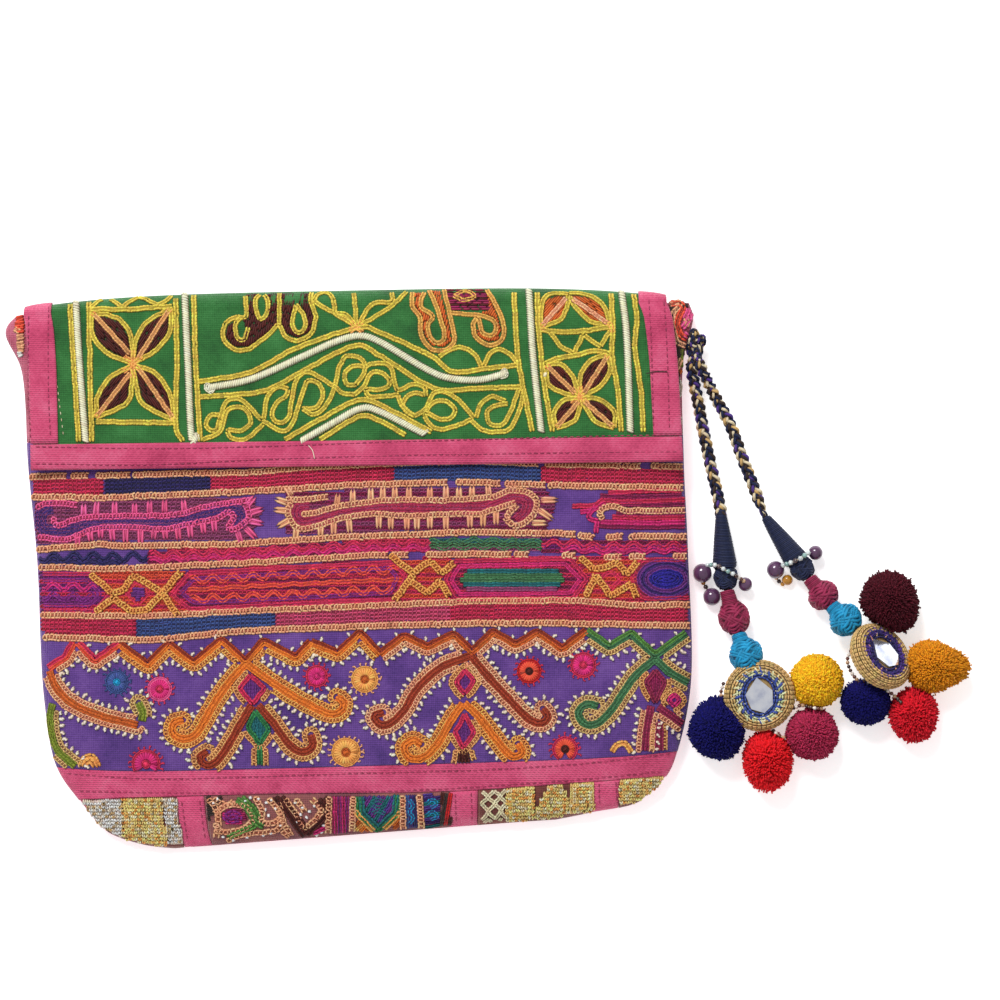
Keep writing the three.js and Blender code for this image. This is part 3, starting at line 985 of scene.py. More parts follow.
    def sash_top(self, u: Array) -> Array:
        """The t of the sash's upper edge at a u: it sags between its ends."""
        line = self.row(self.sash_rows[0])
        return line + (self.row_below(line, self.sash_sags[0]) - line) * (1 - np.clip(u, -1, 1) ** 6)

    def sash_foot(self, u: Array) -> Array:
        """The t of the sash's lower edge at a u: it sags right of the middle."""
        line = self.row(self.sash_rows[1])
        bell = np.exp(-(((u - self.foot_sag_at) / self.foot_sag_wide) ** 2))
        return line + (self.row_below(line, self.sash_sags[1]) - line) * bell


class Face(Enum):
    """Faces of the bag that are embroidered."""

    FLAP = "flap"
    FRONT = "front"
    ABOVE_SASH = "above_sash"
    BASE = "base"


@dataclass
class Drape:
    """A face of the bag as heights over the table, for what is stitched on it."""

    shape: BagShape
    face: Face
    step: float = 0.6
    slope_reach: float = 0.8
    fold_share: float = 0.9
    side_end: float = 0.996
    front_end: float = 0.99
    base_start: float = 0.006
    base_end: float = 0.962
    flap_box: tuple[Point, Point] = ((-146.0, 150.0), (40.0, 126.0))
    front_box: tuple[Point, Point] = ((-152.0, 152.0), (-124.0, 122.0))

    def __post_init__(self) -> None:
        """Works out the heights on a grid."""
        box, height = self.front_box, self.shape.front_height
        if self.face is Face.FLAP:
            box, height = self.flap_box, self.shape.flap_height
        self.xs, self.ys = (np.arange(low, high + self.step, self.step) for low, high in box)
        self.grid = height(*np.meshgrid(self.xs, self.ys))

    def at(self, x: Array, y: Array) -> Array:
        """The height at points seen from above.

        Args:
            x: Across the bag.
            y: From the foot to the fold.

        Returns:
            The height of each point.
        """
        i = np.clip((x - self.xs[0]) / self.step, 0, len(self.xs) - 1.001)
        j = np.clip((y - self.ys[0]) / self.step, 0, len(self.ys) - 1.001)
        i0, j0 = i.astype(int), j.astype(int)
        di, dj = i - i0, j - j0
        low, high = (self.grid[k, i0] * (1 - di) + self.grid[k, i0 + 1] * di for k in (j0, j0 + 1))
        return low * (1 - dj) + high * dj

    def covers(self, flat: Array) -> Array:
        """Whether points seen from above lie on the face.

        Args:
            flat: The points, a row each.

        Returns:
            A truth value for each.
        """
        shape = self.shape
        x, y = flat[:, 0], flat[:, 1]
        if self.face is Face.FLAP:
            return y < shape.y_at(x, np.zeros_like(x)) + shape.gap + self.fold_share * shape.fold_above(x)
        u, t = shape.place(x, y)
        starts = {Face.BASE: shape.sash_foot(u) + self.base_start}
        ends = {Face.ABOVE_SASH: shape.sash_top(u), Face.BASE: self.base_end}
        within = (t > starts.get(self.face, 0.0)) & (t < ends.get(self.face, self.front_end))
        return within & (np.abs(shape.u_at(x, t)) < self.side_end)

    def lay(self, flat: Array, lift: float = 0.0) -> tuple[Array, Array]:
        """Lays points on the face.

        Args:
            flat: The points seen from above, a row each.
            lift: How far above the face.

        Returns:
            The points, and the face's outward direction at each.
        """
        x, y = flat[:, 0], flat[:, 1]
        reach = self.slope_reach
        slope_x = (self.at(x + reach, y) - self.at(x - reach, y)) / (2 * reach)
        slope_y = (self.at(x, y + reach) - self.at(x, y - reach)) / (2 * reach)
        normal = unit(np.stack([-slope_x, -slope_y, np.ones_like(x)], -1))
        return np.stack([x, y, self.at(x, y)], -1) + normal * lift, normal


# Needlework

CHAIN_LIFT = 0.05
STITCH_LIFT = 0.1
ROW_STEP = 0.3
LEAST_ROW = 0.6


@dataclass
class Needle:
    """Works stitches into a face of the bag, along lines and at points that are seen from above."""

    drape: Drape
    book: MeshBook
    rng: Rng
    taken: Array = field(default_factory=lambda: np.full((1, 2), 1e6))
    room: float = 0.0

    def free(self, flat: Array) -> Array:
        """Whether points lie on the face, with room to what is worked already."""
        far = np.linalg.norm(flat[:, None] - self.taken[None], axis=2).min(1)
        return self.drape.covers(flat) & (far >= self.room)

    def stretches(self, line: Array) -> list[Array]:
        """The parts of a line that are free.

        Args:
            line: The line, stepped.

        Returns:
            The parts, each with two steps or more.
        """
        kept = self.free(line)
        cuts = np.flatnonzero(np.diff(kept.astype(int))) + 1
        parts = zip(np.split(line, cuts), np.split(kept, cuts))
        return [part for part, on in parts if on[0] and len(part) > 1]

    def sew(self, starts: Array, ends: Array, lift: float, width: float, dyes: Array, loft: float) -> None:
        """Sews single stitches.

        Args:
            starts: Where they come out.
            ends: Where they go in.
            lift: How far above the face they lie.
            width: Their width.
            dyes: A colour for each.
            loft: Their height as a share of their width.
        """
        start, normal = self.drape.lay(starts, lift)
        end, _normal = self.drape.lay(ends, lift)
        self.book.stitches(start, end, normal, width, dyes, 0.0, loft)

    def chain(
        self,
        points: Line,
        dye: Dye,
        width: float,
        link: float,
        smooth: bool = True,
        lift: float = 0.0,
        open_links: bool = False,
    ) -> None:
        """Works a line of chain stitch: each link is a loop of two strands.

        Args:
            points: The line.
            dye: Its thread.
            width: The chain's width.
            link: The length of a link.
            smooth: Whether the line is rounded at its points.
            lift: How far above the cloth it lies.
            open_links: Whether the links are square with a painted shadow showing in their holes, or close.
        """
        for line in self.stretches(curve_through(points, link, smooth)):
            line[1:-1] += 0.05 * width * self.rng.standard_normal((len(line) - 2, 2))
            place, normal = self.drape.lay(line, CHAIN_LIFT + lift)
            # Painted shade: a dark thread along the chain, under its links, stands for the shade in their
            # gaps and holes.
            core = np.unique(np.r_[0 : len(place) : 2, len(place) - 1])
            shadow, thick = ((0.42, 0.26, 0.3), 0.17) if open_links else (0.7, 0.2)
            self.book.tube(place[core], width * thick, dye.light * shadow, 4, normal[core])
            start, normal = place[:-1], normal[:-1]
            along = place[1:] - start
            side = unit(np.cross(normal, along)) * width
            dyes = hue_drift(dye, len(start), self.rng)
            for hand in (-1.0, 1.0):
                if open_links:
                    rail = start + side * hand * 0.33
                    self.book.stitches(rail, rail + along * 1.4, normal, width * 0.38, dyes, 0.0, 0.6)
                else:
                    ends = start + side * hand * 0.31 - along * 0.2, start + along * 1.5 + side * hand * 0.2
                    self.book.stitches(*ends, normal, width * 0.53, dyes, hand * width * 0.04, 0.6)
            if open_links:
                rungs = start - side * 0.42, start + side * 0.42 + along * 0.2
                self.book.stitches(*rungs, normal, width * 0.32, dyes, 0.0, 0.9)

    def rope(self, points: Line, dye: Dye, width: float) -> None:
        """Couches a thick cord: slanting strands over a line.

        Args:
            points: The line.
            dye: The cord's thread.
            width: The cord's width.
        """
        pitch = 1.0
        line = curve_through(points, pitch)
        place, normal = self.drape.lay(line[self.drape.covers(line)], 0.15)
        along = unit(np.gradient(place, axis=0))
        reach = np.cross(normal, along) * width / 2 + along * pitch * 0.9
        dyes = hue_drift(dye, len(place), self.rng, 0.05)
        self.book.stitches(place - reach, place + reach, normal, pitch * 1.7, dyes, 0.0, 0.8)

    def run(
        self, points: Line, dye: Dye, length: float, space: float, width: float, lift: float = 0.0
    ) -> None:
        """Works a line of running stitch.

        Args:
            points: The line.
            dye: Its thread.
            length: The length of a stitch that shows.
            space: The gap to the next.
            width: The thread's width.
            lift: How far above the face it lies.
        """
        line = curve_through(points, length + space)
        ends = line[:-1] + (line[1:] - line[:-1]) * length / (length + space)
        dyes = hue_drift(dye, len(ends), self.rng)
        self.sew(line[:-1], ends, CHAIN_LIFT + lift, width, dyes, 0.45)

    def rows(self, outline: Line, angle: float, pitch: float) -> Iterator[tuple[int, Array, Array, Array]]:
        """Cuts an outline into rows.

        Args:
            outline: The outline.
            angle: The rows' direction in degrees, 0 across the bag.
            pitch: The distance between two rows.

        Yields:
            The row's number, its direction, its distance from the middle of the bag, and where it
            begins and ends.
        """
        turn = math.radians(angle)
        along = np.array([math.cos(turn), math.sin(turn)])
        across = np.array([-math.sin(turn), math.cos(turn)])
        corners = np.asarray(outline, float)
        far, side = corners @ along, corners @ across
        after = np.roll(np.arange(len(corners)), -1)
        for number, level in enumerate(np.arange(side.min() + pitch / 2, side.max(), pitch)):
            cut = (side <= level) != (side[after] <= level)
            share = (level - side[cut]) / (side[after][cut] - side[cut])
            hits = np.sort(far[cut] + share * (far[after][cut] - far[cut]))
            for first, last in zip(hits[::2], hits[1::2]):
                steps = np.arange(first, last, ROW_STEP)[:, None]
                for part in self.stretches(steps * along + level * across):
                    ends = np.array([part[0] @ along, part[-1] @ along])
                    if ends[1] - ends[0] >= LEAST_ROW:
                        yield number, along, level * across, ends

    def fill(
        self, outline: Line, dye: Dye | Sequence[Dye], angle: float, pitch: float = 0.9, length: float = 4.2
    ) -> None:
        """Fills an outline with rows of long stitches.

        Args:
            outline: The outline.
            dye: The thread, or the threads that are taken row by row in turn.
            angle: The rows' direction in degrees, 0 across the bag.
            pitch: The distance between two rows.
            length: The length of a stitch.
        """
        dyes = (dye,) if isinstance(dye, Dye) else dye
        for number, along, level, (first, last) in self.rows(outline, angle, pitch):
            count = max(1, round((last - first) / length + 0.25 * (number % 2)))
            marks = np.linspace(first, last, count + 1)
            marks[1:-1] += 0.3 * length * self.rng.uniform(-1, 1, max(0, count - 1))
            flat = marks[:, None] * along + level + 0.05 * self.rng.standard_normal((count + 1, 2))
            place, normal = self.drape.lay(flat, STITCH_LIFT)
            over = 0.12 * (place[1:] - place[:-1])
            colours = hue_drift(dyes[number % len(dyes)], count, self.rng)
            ends = place[:-1] - over, place[1:] + over
            self.book.stitches(*ends, normal[:-1], pitch * 1.5, colours, 0.0, 0.4)

    def fill_chain(
        self,
        outline: Line,
        dyes: Sequence[Dye],
        angle: float,
        pitch: float,
        lift: float = 0.0,
        open_links: bool = False,
    ) -> None:
        """Fills an outline with rows of chain stitch.

        Args:
            outline: The outline.
            dyes: The threads, taken row by row in turn.
            angle: The rows' direction in degrees, 0 across the bag.
            pitch: The distance between two rows.
            lift: How far above the cloth they lie.
            open_links: Whether the chain's links are square.
        """
        link = pitch * (1.05 if open_links else 0.9)
        for number, along, level, ends in self.rows(outline, angle, pitch):
            line = level + along * ends[:, None]
            self.chain(line, dyes[number % len(dyes)], pitch * 1.1, link, False, lift, open_links)

    def knit(self, outline: Array, dyes: Sequence[Dye], pitch: float = 1.4) -> None:
        """Fills an outline with rows of small slanting pairs, as in knitted metal thread.

        Args:
            outline: The outline.
            dyes: The threads, mixed at random.
            pitch: The distance between two rows.
        """
        x, y = (np.arange(a.min(), a.max() + pitch, pitch) for a in outline.T)
        spots = np.stack(np.meshgrid(x, y), -1).reshape(-1, 2)
        inside = np.zeros(len(spots), bool)
        for (x0, y0), (x1, y1) in zip(outline, np.roll(outline, -1, axis=0)):
            across = (y0 <= spots[:, 1]) != (y1 <= spots[:, 1])
            crossing = x0 + (spots[:, 1] - y0) * (x1 - x0) / (y1 - y0 if y1 != y0 else 1.0)
            inside ^= across & (spots[:, 0] < crossing)
        spots = spots[inside & self.drape.covers(spots)]
        spots += 0.12 * pitch * self.rng.standard_normal(spots.shape)
        light = np.array([dye.light for dye in dyes])[self.rng.integers(0, len(dyes), len(spots))]
        for hand in (-1.0, 1.0):
            shades = np.clip(light * (1 + 0.25 * self.rng.standard_normal((len(spots), 1))), 0.02, 1)
            starts, ends = spots + (hand * 0.5 * pitch, 0.45 * pitch), spots - (0.0, 0.6 * pitch)
            self.sew(starts, ends, 0.5, pitch * 0.62, shades, 0.7)

    def dots(self, points: Line, dye: Dye, size: float) -> None:
        """Works knots: two short strands over each other.

        Args:
            points: Their places.
            dye: Their thread.
            size: Their size.
        """
        flat = np.asarray(points, float).reshape(-1, 2)
        place, normal = self.drape.lay(flat[self.drape.covers(flat)], STITCH_LIFT)
        dyes = hue_drift(dye, len(place), self.rng)
        for quarter in (0.0, math.pi / 2):
            turn = self.rng.uniform(0, math.pi, len(place)) + quarter
            way = np.stack([np.cos(turn), np.sin(turn), np.zeros_like(turn)], -1) * size / 2
            self.book.stitches(place - way, place + way, normal, size * 0.7, dyes, 0.0, 0.6)

    def picots(
        self, points: Line, dye: Dye, reach: float, step: float, side: float, width: float = 0.8
    ) -> None:
        """Works short stitches that stand out from a line, as along the edge of a motif.

        Args:
            points: The line.
            dye: Their thread.
            reach: How far they stand out.
            step: The distance between two.
            side: 1 to the line's left, -1 to its right.
            width: Their width.
        """
        line = curve_through(points, step)
        if len(line) < 3:
            return
        along = unit(np.gradient(line, axis=0))
        out = leftward(line) * side
        tip = line + out * reach * (1 + 0.2 * self.rng.standard_normal((len(line), 1))) + along * 0.4
        hook = tip + along * reach * 0.5 * self.rng.choice((-1, 1), (len(tip), 1)) - out * 0.3
        on = self.free(tip) & self.drape.covers(line) & self.drape.covers(hook)
        start, normal = self.drape.lay((line - out * 0.2)[on], STITCH_LIFT)
        end, _normal = self.drape.lay(tip[on], STITCH_LIFT)
        turned, _normal = self.drape.lay(hook[on], 2 * STITCH_LIFT)
        dyes = hue_drift(dye, len(start), self.rng, 0.06)
        self.book.stitches(start, end, normal, width, dyes, 0.0, 0.6)
        self.book.stitches(end + 0.25 * (start - end), turned, normal, width * 0.95, dyes, 0.0, 0.7)

    def rosette(self, centre: Array, radius: float, rings: Sequence[Dye]) -> None:
        """Works a round flower: petals of looped thread, a rim round them, and a heart.

        Args:
            centre: Its middle.
            radius: Its radius.
            rings: The threads of its petals, of its rim and of its heart.
        """
        petals, rim, heart = rings
        turn = np.linspace(0, 2 * math.pi, 25)
        way = np.stack([np.cos(turn), np.sin(turn)], -1)
        self.chain(way * radius * 0.9 + centre, rim, 1.5, 1.2)
        inner, outer = (way * radius * share + centre for share in (0.2, 0.92))
        on = self.drape.covers(outer) & self.drape.covers(inner)
        dyes = hue_drift(petals, int(on.sum()), self.rng, 0.14)
        self.sew(inner[on], outer[on], 0.15, radius * 0.3, dyes, 0.4)
        self.chain(way[::4] * radius * 0.24 + centre, heart, 1.1, 1.0, True, 0.5)
        self.dots([centre], heart, radius * 0.5)


# The bag


class Finishes:
    """The materials of the clutch, one for each kind of stuff."""

    def __init__(self) -> None:
        """Makes the materials."""
        self.pink = ClothFinish("pink_cotton", "a82f56", "c9486f", "d9688a", 0.9, True).material()
        # Painted light: the sash's pink cotton is painted paler than the pouch's, to offset the shade that
        # falls on it.
        self.sash = ClothFinish("pink_cotton_painted_lighter", "b0325a", "d44e78", "e06e8e", 0.9, True).material()
        self.green = ClothFinish("green_cotton", "1c5224", "2a6b30", "3c8042").material()
        self.purple = ClothFinish("purple_cotton", "43276e", "5e3a88", "75509c").material()
        self.madder = ClothFinish("madder_cotton", "8f3a4c", "b4536a", "c9748a").material()
        self.brown = ClothFinish("brown_cotton", "5a2a26", "7a3e38", "96564a").material()
        self.plum = ClothFinish("plum_cotton", "683a46", "8a4e50", "a0645c").material()
        self.thread = ThreadFinish("embroidery_thread", 0.6, 0.05).material()
        self.metal = ThreadFinish("metal_thread", 0.42, 0.0, 0.2, 0.12, 0.2).material()
        self.yarn = ThreadFinish("cut_yarn", 0.95, 0.0, 0.3, 0.0, 0.15).material()
        self.braid = ThreadFinish("braid_yarn", 0.85, 0.05, 0.3).material()
        self.bead = BeadFinish("beads").material()
        self.mirror = MirrorFinish().material()


@dataclass(frozen=True)
class Cut:
    """A piece of cloth for the front, with its thickness and its cut size in metres."""

    name: str
    thick: float
    finish: Material
    slot: str
    flat: Point


@dataclass
class Pouch:
    """The padded pouch and the cloth that is sewn on its front."""

    shape: BagShape
    finishes: Finishes
    columns: int = 60
    rows: int = 72
    cloth_columns: int = 110
    cloth_rows: int = 200
    base_rows: int = 16
    crowding: float = 1.35
    edge: float = 0.9935
    front_hidden: float = 10.0
    base_foot: float = 0.965
    seam_room: float = 0.15
    least_cut: float = 10.5
    base_seams: tuple[tuple[str, float, float], ...] = (
        ("base_patch_silver", -113.4, -104.0),
        ("base_strip_left", -74.2, -71.2),
        ("base_patch_stitched", -62.4, -59.2),
        ("base_strip_middle", 43.2, 43.4),
        ("base_patch_gold", 55.6, 55.2),
        ("base_strip_right", 105.0, 104.6),
        ("base_patch_corner", 117.0, 116.0),
        ("", 134.4, 125.4),
    )

    def build(self) -> None:
        """Builds the pouch and its cloth."""
        shape, finishes = self.shape, self.finishes
        self.build_shell()
        join = shape.row_below(shape.row(shape.hem_row), -self.front_hidden)
        above = shape.row_below(join, -shape.gap)
        spread = np.linspace(-self.crowding, self.crowding, self.cloth_columns)
        u = self.edge * (np.sin(spread) / math.sin(self.crowding))
        top, foot = shape.sash_top(u), shape.sash_foot(u)
        upper = Cut("upper_patch", shape.patch, finishes.madder, "madder_cloth", (0.288, 0.062))
        front = Cut("front_patch", shape.patch, finishes.purple, "purple_cloth", (0.281, 0.146))
        sash = Cut("sash", shape.tape, finishes.sash, "pink_cotton", (0.262, 0.016))
        for cut, start, end in ((upper, 0.01, above), (front, join, top - (join - above)), (sash, top, foot)):
            count = max(6, round(float(np.max(end - start)) * self.cloth_rows))
            down = np.linspace(0, 1, count)[:, None]
            self.sew(cut, np.tile(u, (count, 1)), start + (end - start) * down)
        self.build_base()

    def build_shell(self) -> None:
        """Lofts the pouch from its foot to its mouth and back into its hollow."""
        shape = self.shape
        us = np.sin(np.linspace(-1, 1, self.columns + 1) * math.pi / 2)
        outside = [(t, 0) for t in np.linspace(1, 0, self.rows)]
        hollow = [(t, 1) for t in np.linspace(0, shape.hollow_end, self.rows * 2 // 3)]
        rings = []
        for t, inset in outside + hollow:
            front = shape.shell(us, np.full_like(us, t), inset, True)
            back = shape.shell(us[-2:0:-1], np.full(len(us) - 2, t), inset, False)
            rings.append(np.concatenate([front, back])[::-1])
        book = MeshBook("pouch_shell")
        book.rings(np.stack(rings))
        book.piece(self.finishes.pink, "pink_cotton", "pouch")

    def sew(self, cut: Cut, u: Array, t: Array) -> None:
        """Sews a piece of cloth on the front.

        Args:
            cut: The cloth.
            u: A grid of places across.
            t: The same grid's places down.
        """
        shape = self.shape
        outer = shape.raised(u, t, shape.gap + cut.thick)
        outer[..., 2] += shape.uneven * pucker(outer[..., 0], outer[..., 1])
        book = MeshBook(cut.name + "_cloth")
        book.sheet(outer, shape.raised(u, t, shape.gap * 0.3))
        made = book.piece(cut.finish, cut.slot, cut.name)

    def base_end(self, x: Array) -> Array:
        """The base row's lower edge: the foot line, or where the outline turns up.

        Args:
            x: Places across, in millimetres.

        Returns:
            The t at each.
        """
        ts = np.linspace(self.shape.row(self.shape.sash_rows[1]), self.base_foot, 200)
        inside = np.abs(self.shape.u_at(x[..., None], ts)) <= self.edge
        return ts[np.maximum(0, len(ts) - 1 - np.argmax(inside[..., ::-1], axis=-1))]

    def build_base(self) -> None:
        """Sews the row of patches and strips along the foot."""
        shape, room = self.shape, self.seam_room
        edge = shape.row(shape.sash_rows[1])
        under = shape.row_below(edge, shape.gap) - edge
        patches = {
            "base_patch_silver": (self.finishes.brown, "silver_brocade"),
            "base_patch_stitched": (self.finishes.plum, "stitched_cloth"),
            "base_patch_gold": (self.finishes.brown, "gold_brocade"),
            "base_patch_corner": (self.finishes.brown, "gold_brocade"),
        }
        seams = zip(self.base_seams[:-1], self.base_seams[1:])
        for (name, top_x, foot_x), (_next, next_top, next_foot) in seams:
            wide = next_top - top_x
            columns = np.linspace(0, 1, max(8, round(wide * 0.6)))
            share, down = np.meshgrid(columns, np.linspace(0, 1, self.base_rows))
            at_top = top_x + room + (wide - 2 * room) * share
            at_foot = foot_x + room + (next_foot - foot_x - 2 * room) * share
            top = shape.sash_foot(shape.u_at(at_top, edge)) + under
            t = top + (self.base_end(at_foot) - top) * down
            u = shape.u_at(at_top + (at_foot - at_top) * down, t)
            finish, slot = patches.get(name, (self.finishes.sash, "pink_cotton"))
            thick = shape.patch if name in patches else shape.tape
            steps = np.linalg.norm(np.diff(shape.raised(u, t, thick), axis=0), axis=-1)
            tall = float(steps.sum(0).mean())
            flat = max(wide, self.least_cut) * MM, max(tall, self.least_cut) * MM
            self.sew(Cut(name, thick, finish, slot, flat), u, t)


@dataclass
class Flap:
    """The flap, and the tape that binds its edges."""

    shape: BagShape
    finishes: Finishes
    left_tape: float = 10.8
    right_tape: float = 11.0
    hem_tape: float = 9.2
    turned: float = 3.0
    tape_turn: float = 0.625
    tape_uneven: float = 0.25
    columns: int = 120
    fold_rows: int = 24
    face_rows: int = 38

    def build(self) -> None:
        """Builds the flap and its bindings."""
        shape = self.shape
        steps = np.concatenate([np.linspace(-1, 0, self.fold_rows), np.linspace(0, 1, self.face_rows)[1:]])
        a, s = np.meshgrid(np.linspace(0, 1, self.columns), steps)
        outer = shape.flap(a, s, 0.0)
        fade = np.minimum(1, s * shape.smooth_fold)
        uneven = shape.uneven * pucker(outer[..., 0], outer[..., 1]) * fade
        outer[..., 2] += np.where(s > 0, uneven, 0)
        book = MeshBook("flap_cloth")
        book.sheet(outer, shape.flap(a, s, -shape.flap_cloth))
        made = book.piece(self.finishes.green, "green_cloth", "flap")
        self.bind_side("flap_binding_left", 0.0, 1.0, self.left_tape)
        self.bind_side("flap_binding_right", 1.0, -1.0, self.right_tape)
        self.bind_hem()

    def above_hem(self, distance: Array | float) -> Array:
        """The s that lies a distance above the hem."""
        hem = self.shape.row(self.shape.hem_row)
        return 1 - np.asarray(distance) * (self.shape.row_below(hem, 1.0) - hem) / hem

    def profile(self, width: float) -> tuple[Array, Array]:
        """The tape's section, which lies on the flap and turns round its edge.

        Args:
            width: The tape's width on the face.

        Returns:
            Distances in from the edge, and heights over the flap's outer face.
        """
        gap, tape, cloth = self.shape.gap, self.shape.tape, self.shape.flap_cloth
        out = gap + tape
        across = np.linspace(width, 0.3, 14)
        dome = gap + tape * (0.75 + 0.35 * np.sin(np.linspace(0, math.pi, 14)) ** 0.5)
        turn = [
            (-gap - tape * 0.6, gap + tape * 0.7),
            (-out, gap * 0.2),
            (-out, -cloth),
            (-gap, -cloth),
            (-gap, gap * 0.5),
        ]
        under = [(x, gap * 0.5) for x in across[::-1][1:-1]]
        section = [(width, gap * 0.5), *zip(across, dome), *turn, *under]
        return np.array([x for x, _z in section]), np.array([z for _x, z in section])

    def bind_side(self, name: str, edge: float, inward: float, width: float) -> None:
        """Binds one side of the flap.

        Args:
            name: The solid that the tape replaces.
            edge: 0 at the left or 1 at the right.
            inward: 1 where the flap lies to the right of the edge, else -1.
            width: The tape's width.
        """
        distance, height = self.profile(width)
        wide = self.shape.flap_top[1] - self.shape.flap_top[0]
        end = float(self.above_hem(self.hem_tape + self.shape.gap))
        steps = np.concatenate([np.linspace(-self.tape_turn, 0, 20), np.linspace(0, end, 50)[1:]])[:, None]
        rings = self.shape.flap(edge + inward * distance / wide, steps, height)
        uneven = np.where(steps > 0, self.tape_uneven, 0.0)
        ordered = rings if inward > 0 else rings[:, ::-1]
        self.finish_tape(name, ordered, uneven)

    def bind_hem(self) -> None:
        """Binds the flap's hem, from side to side."""
        distance, height = self.profile(self.hem_tape)
        over = (self.shape.gap + self.shape.tape) / (self.shape.flap_hem[1] - self.shape.flap_hem[0])
        steps = np.linspace(-over, 1 + over, self.columns)[:, None]
        rings = self.shape.flap(steps, self.above_hem(distance), height)
        self.finish_tape("flap_binding_hem", rings, self.tape_uneven)

    def finish_tape(self, name: str, rings: Array, uneven: Array | float) -> None:
        """Makes a tape's piece.

        Args:
            name: The solid that it replaces.
            rings: Its sections, a ring of points each.
            uneven: How much it puckers.
        """
        rings[..., 2] += uneven * pucker(rings[..., 0], rings[..., 1])
        book = MeshBook(name + "_tape")
        book.rings(rings)
        tape = book.piece(self.finishes.pink, "pink_cotton", name)


# The tassels


@dataclass
class Braid:
    """A round braid of three strands, each of three plies."""

    route: Line
    lay: float = 9.6
    across: float = 1.45
    depth: float = 1.2
    ply: float = 0.7
    twist: float = 17.0
    narrow_from: float = math.inf
    narrow_over: float = 12.0
    narrowest: float = 0.55
    ply_reach: float = 1.08
    plies: tuple[tuple[Dye, Dye, Dye], ...] = (
        (Dye.NIGHT, Dye.STRAW, Dye.CREAM),
        (Dye.BARK, Dye.CREAM, Dye.NIGHT),
        (Dye.NIGHT, Dye.BARK, Dye.LILAC),
    )

    def work(self, book: MeshBook) -> None:
        """Plaits the braid.

        Args:
            book: Takes the plies.
        """
        step = 0.5
        line = curve_through(self.route, step)
        along = unit(np.gradient(line, axis=0))
        side = unit(np.cross(along, UPWARD))
        up = np.cross(side, along)
        run = np.arange(len(line))[:, None] * step
        slim = np.clip(1 - (run - self.narrow_from) / self.narrow_over, self.narrowest, 1)
        for strand, dyes in enumerate(self.plies):
            turn = 2 * math.pi * (run / self.lay + strand / 3)
            shift = self.across * np.sin(turn) * side + self.depth * np.sin(2 * turn) * up
            for ply, dye in enumerate(dyes):
                spin = 2 * math.pi * (run / self.twist + ply / 3)
                wrap = self.ply * self.ply_reach * (np.cos(spin) * side + np.sin(spin) * up)
                book.tube(line + slim * (shift + wrap), self.ply * slim[:, 0], dye.light, 4)


@dataclass
class Winding:
    """A piece wound of thread round an axis: a neck of close turns, and a knot of crossing strands."""

    name: str
    start: Point3
    end: Point3
    profile: tuple[Point, ...]
    neck: Point
    knot: Point
    dye: Dye
    thread: float = 0.42
    strand: float = 1.3
    leads: int = 4
    bights: int = 5
    core_depth: float = 0.9
    core_shade: float = 0.4
    turn_pitch: float = 1.75
    turn_sink: float = 0.7
    knot_sink: float = 0.75
    knot_wave: float = 0.65
    knot_spread: float = 0.8
    strand_pitch: float = 1.1
    inside: Point = (0.01, 0.99)

    def __post_init__(self) -> None:
        """Sets up the axis."""
        self.foot = np.asarray(self.start)
        self.axis = np.asarray(self.end) - self.foot
        self.long = float(np.linalg.norm(self.axis))
        way = self.axis / self.long
        self.side = unit(np.cross(way, UPWARD))
        self.up = np.cross(self.side, way)

    def around(self, share: Array, turn: Array, over: Array | float) -> Array:
        """Points round the axis.

        Args:
            share: Shares of the way along the axis.
            turn: Angles round it.
            over: How far above the profile.

        Returns:
            A row for each point.
        """
        radius = np.interp(share, *zip(*self.profile))
        out = np.cos(turn)[..., None] * self.side + np.sin(turn)[..., None] * self.up
        return self.foot + share[..., None] * self.axis + np.maximum(0.3, radius + over)[..., None] * out

    def build(self, finish: Material, slot: str) -> Piece:
        """Winds the piece.

        Args:
            finish: Its thread.
            slot: The record's material slot.

        Returns:
            The piece, in place of its solid.
        """
        book = MeshBook(self.name + "_thread")
        light = self.dye.light
        shares, turns = np.meshgrid(np.linspace(*self.inside, 26), circle(20), indexing="ij")
        # Painted shade: the core is the thread's dye darkened, for the shade in the gaps between turns and
        # strands.
        book.rings(self.around(shares, turns, -self.core_depth), light * self.core_shade)
        low, high = self.neck
        rounds = (high - low) * self.long / (self.thread * self.turn_pitch)
        steps = np.linspace(0, 1, max(30, int(rounds * 18)))
        drift = np.random.default_rng(SEED).standard_normal(len(steps)).cumsum()
        wobble = 0.1 * np.sin(9.7 * steps * rounds) + 0.07 * drift * 0.02
        shade = light * (1 + 0.22 * np.sin(steps * rounds * 2.2)[:, None])
        over = -self.thread * self.turn_sink + wobble * 0.5
        coil = self.around(low + (high - low) * steps, 2 * math.pi * rounds * steps, over)
        book.tube(coil, self.thread, np.clip(shade, 0.002, 1), 5)
        middle, half = (self.knot[0] + self.knot[1]) / 2, (self.knot[1] - self.knot[0]) / 2
        steps = np.linspace(0, 2 * math.pi * self.leads, 50 * self.leads)
        beat = steps * self.bights / self.leads
        swing = np.cos(beat)
        lift = -self.knot_sink + self.knot_wave * np.sin(beat * 2 + steps) * (1 - swing**2)
        for offset in (-1.0, 0.0, 1.0):
            aside = offset * self.strand * self.strand_pitch / self.long
            share = middle + half * self.knot_spread * swing + aside
            # Painted shade and light: strands are lighter where they ride high and darker where they sink,
            # beside an uneven tone.
            tone = 1.05 + 0.2 * np.sin(steps * 7.3 + offset) + 0.25 * (lift + self.knot_sink)
            shade = light * tone[:, None]
            knot = self.around(np.clip(share, *self.inside), steps, lift)
            book.tube(knot, self.strand * 0.56, np.clip(shade, 0.002, 1), 5)
        return book.piece(finish, slot, self.name)


@dataclass(frozen=True)
class MedallionDyes:
    """The threads of a medallion, from its rim to its mirror."""

    rim: Dye
    outer: Dye
    inner: Dye
    fleck: Dye


